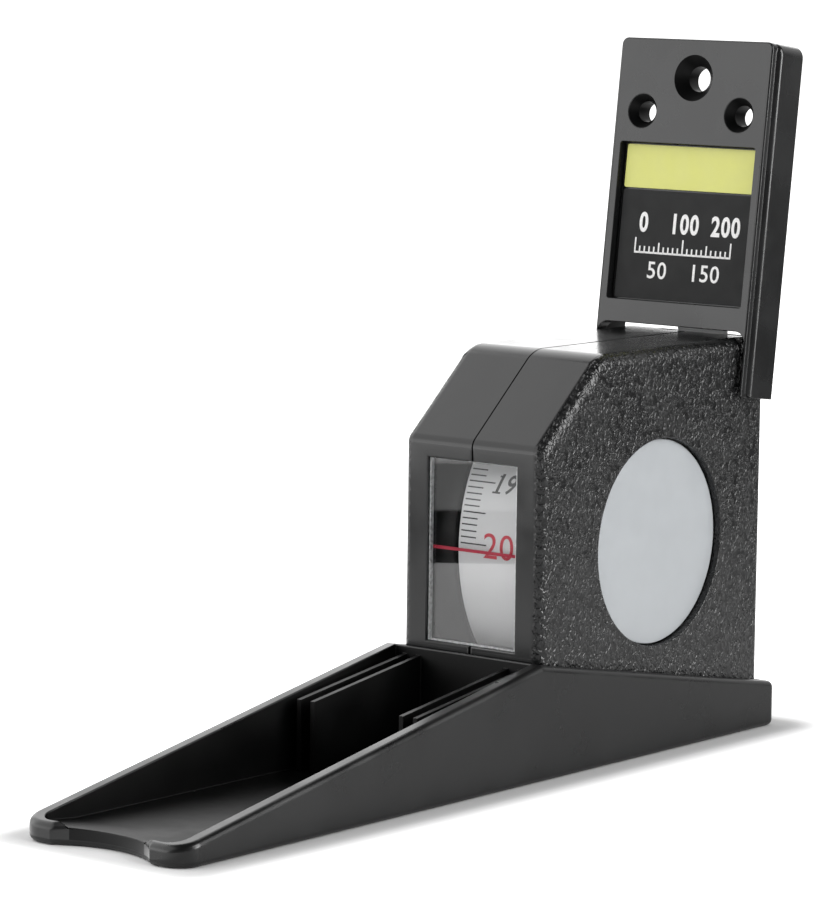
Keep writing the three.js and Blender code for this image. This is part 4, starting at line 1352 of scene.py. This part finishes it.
for name, centre in case_screw_centres:
    screw(name, "x")
for name, centre in board_screw_centres:
    screw(name, "z")

# %% [markdown]
# Pieces that stay as the CAD made them
#
# The hairline, the arbor, the guide pin, the drum and the spiral spring have their full shape already,
# and they only get a finish.

# %% Finishes for carried-over nodes
carried = {
    "hairline": crimson_ink,
    "arbor": zinc_steel,
    "guide_pin": zinc_steel,
    "reel_drum": nylon_pale,
    "return_spring": spring_steel,
}
for name, finish in carried.items():
    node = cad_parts[name]
    node.data.materials.clear()
    node.data.materials.append(finish.material)
print("carried over:", ", ".join(carried))

# %% [markdown]
# Studio
#
# A white floor and a white surround. The floor's own light is added only outside the board's
# footprint and rises in two ramps over about two centimetres, so the floor fades to pure white in the
# picture and still keeps the soft shadow beside the board.

# %% Floor
footprint = Vector((board_half, board_rear, 0))
glow_mirrored = 0.15


def studio_floor():
    work = bmesh.new()
    bmesh.ops.create_grid(work, x_segments=1, y_segments=1, size=6)
    made = finish_mesh("studio_floor", work)
    paper = Finish("floor_paper", Roughness=0.9, Specular_IOR_Level=0.0)
    paper.drive("Base Color", paper.blend(paper.noise(0.4, 2), grey(0.80), grey(0.82)))
    apart = paper.vector_math("SUBTRACT", paper.vector_math("ABSOLUTE", paper.place), footprint)
    distance = paper.vector_math("LENGTH", paper.vector_math("MAXIMUM", apart), output="Value")
    near_glow = paper.ramp(distance, 2 * mm, 9 * mm, 0.0, 0.65)
    far_glow = paper.ramp(distance, 4 * mm, 22 * mm, 0.0, 0.35)
    glow = paper.math("ADD", near_glow, far_glow)
    seen, glossy = paper.rays()[:2]
    seen = paper.math("MAXIMUM", seen, paper.math("MULTIPLY", glossy, glow_mirrored))
    paper.shader.inputs["Emission Color"].default_value = (1, 1, 1, 1)
    paper.drive("Emission Strength", paper.math("MULTIPLY", glow, seen))
    made.data.materials.append(paper.material)
    return made


studio_floor()

# %% World
backdrop_direction = (-0.624, 0.781, 0.0)
diffuse_level, dark_level = 0.45, 0.12


def studio_world():
    """White to the camera. Reflections see a white backdrop behind the object and a dark room in front."""
    world = bpy.data.worlds.new("studio")
    bpy.context.scene.world = world
    world.use_nodes = True
    room = NodeMaker(world.node_tree)
    direction = room.nodes.new("ShaderNodeTexCoord").outputs["Generated"]
    towards = room.vector_math("DOT_PRODUCT", direction, backdrop_direction, output="Value")
    height = room.node("ShaderNodeSeparateXYZ", {0: direction}).outputs["Z"]
    backdrop = room.ramp(towards, 0.2, 0.6, dark_level, 1.0)
    below_ceiling = room.ramp(height, 0.45, 0.8, 1.0, dark_level)
    seen, glossy, diffuse = room.rays()
    glossy = room.math("MULTIPLY", glossy, room.math("MULTIPLY", backdrop, below_ceiling))
    diffuse = room.math("MULTIPLY", diffuse, diffuse_level)
    strength = room.math("MAXIMUM", room.math("MAXIMUM", seen, glossy), diffuse)
    background = room.nodes["Background"].inputs
    room.links.new(strength, background["Strength"])
    background["Color"].default_value = (1, 1, 1, 1)


studio_world()

# %% [markdown]
# Lamps
#
# Polished black shows little but what it mirrors, so each lamp is placed by what a face sees in it.
# One very large soft box stands front left: the bracket's panel and the case's slope mirror it and read
# as grey. A low box brightens the panel and a box behind turns the top of the case white. At the right,
# one box draws the bright band along the grained rim and a small low one draws the line along the
# bracket's rail. These four only add reflections. The last box, at the right, lights the badge and
# isn't mirrored by anything.

# %% Soft boxes
aim = Vector((0, 0.03, 0.05))


def soft_box(name, direction, distance, width, height, radiance, unseen):
    """An area lamp whose face has a given brightness, seen from the object in a direction."""
    data = bpy.data.lights.new(name, "AREA")
    data.shape = "RECTANGLE"
    data.size, data.size_y = width, height
    data.energy = radiance * math.pi * width * height
    lamp = bpy.data.objects.new(name, data)
    lamp.location = aim + Vector(direction).normalized() * distance
    lamp.rotation_euler = (aim - lamp.location).to_track_quat("-Z", "Y").to_euler()
    for kind in ("camera", *unseen):
        setattr(lamp, "visible_" + kind, False)
    bpy.context.scene.collection.objects.link(lamp)


lamps = [  # name, direction from the object, distance, width, height, radiance, rays that miss it
    ("key_box", (-0.72, -0.55, 0.42), 1.3, 2.4, 2.2, 1.8, ()),
    ("low_box", (-0.55, -0.83, 0.15), 1.2, 1.3, 0.55, 1.2, ("diffuse",)),
    ("back_box", (-0.60, 0.65, 0.47), 1.3, 1.2, 1.3, 1.3, ("diffuse",)),
    ("rim_box", (0.85, 0.30, 0.43), 1.2, 0.5, 0.95, 10.0, ("diffuse",)),
    ("rail_box", (0.94, 0.33, 0.08), 1.0, 0.35, 0.26, 8.0, ("diffuse",)),
    ("right_box", (0.92, -0.10, 0.38), 1.2, 0.4, 0.9, 6.0, ("glossy",)),
]
for lamp in lamps:
    soft_box(*lamp)
print("soft boxes:", ", ".join(lamp[0] for lamp in lamps))

# %% [markdown]
# Cards on the floor
#
# The window and the front face mirror the floor in front. Photographers lay white and black cards
# there, and so does this scene: a white one near the board, a black one that draws the dark band across
# the lens, a grey one and two bright ones that reach further out. A dark card at the back right is what
# the right side mirrors, so that side reads as black. Only reflections see the cards.

# %% Cards
to_front, to_back = (-0.624, -0.781, 0), (0.6, 0.8, 0)


def floor_card(name, near_edge, far_edge, radiance, direction, half_width):
    """A flat card on the floor, between two distances from the foot of the case's front face."""
    ahead = Vector(direction).normalized()
    work = bmesh.new()
    bmesh.ops.create_grid(work, x_segments=1, y_segments=1, size=1.0)
    size = Matrix.Diagonal((half_width, (far_edge - near_edge) / 2, 1, 1))
    turn = ahead.to_track_quat("Y", "Z").to_matrix().to_4x4()
    place = Matrix.Translation(ahead * (near_edge + far_edge) / 2 + Vector((0, case_front, 0.001)))
    bmesh.ops.transform(work, matrix=place @ turn @ size, verts=work.verts)
    card = finish_mesh(name, work)
    paper = Finish(name + "_paper", Roughness=0.9, Specular_IOR_Level=0.0, Emission_Strength=radiance)
    paper.drive("Base Color", paper.blend(paper.noise(0.1, 2), grey(0.015), grey(0.02)))
    paper.shader.inputs["Emission Color"].default_value = (1, 1, 1, 1)
    card.data.materials.append(paper.material)
    for kind in ("camera", "diffuse", "shadow"):
        setattr(card, "visible_" + kind, False)


cards = [  # name, near edge, far edge, radiance, direction, half width
    ("card_near", 0.06, 0.204, 1.5, to_front, 0.3),
    ("card_black", 0.204, 0.282, 0.0, to_front, 0.3),
    ("card_grey", 0.282, 0.365, 0.7, to_front, 0.3),
    ("card_far", 0.365, 0.44, 2.0, to_front, 0.5),
    ("card_white", 0.44, 1.2, 4.2, to_front, 0.5),
    ("card_side", 0.22, 1.6, 0.15, to_back, 0.7),
]
for card in cards:
    floor_card(*card)
print("cards:", ", ".join(card[0] for card in cards))
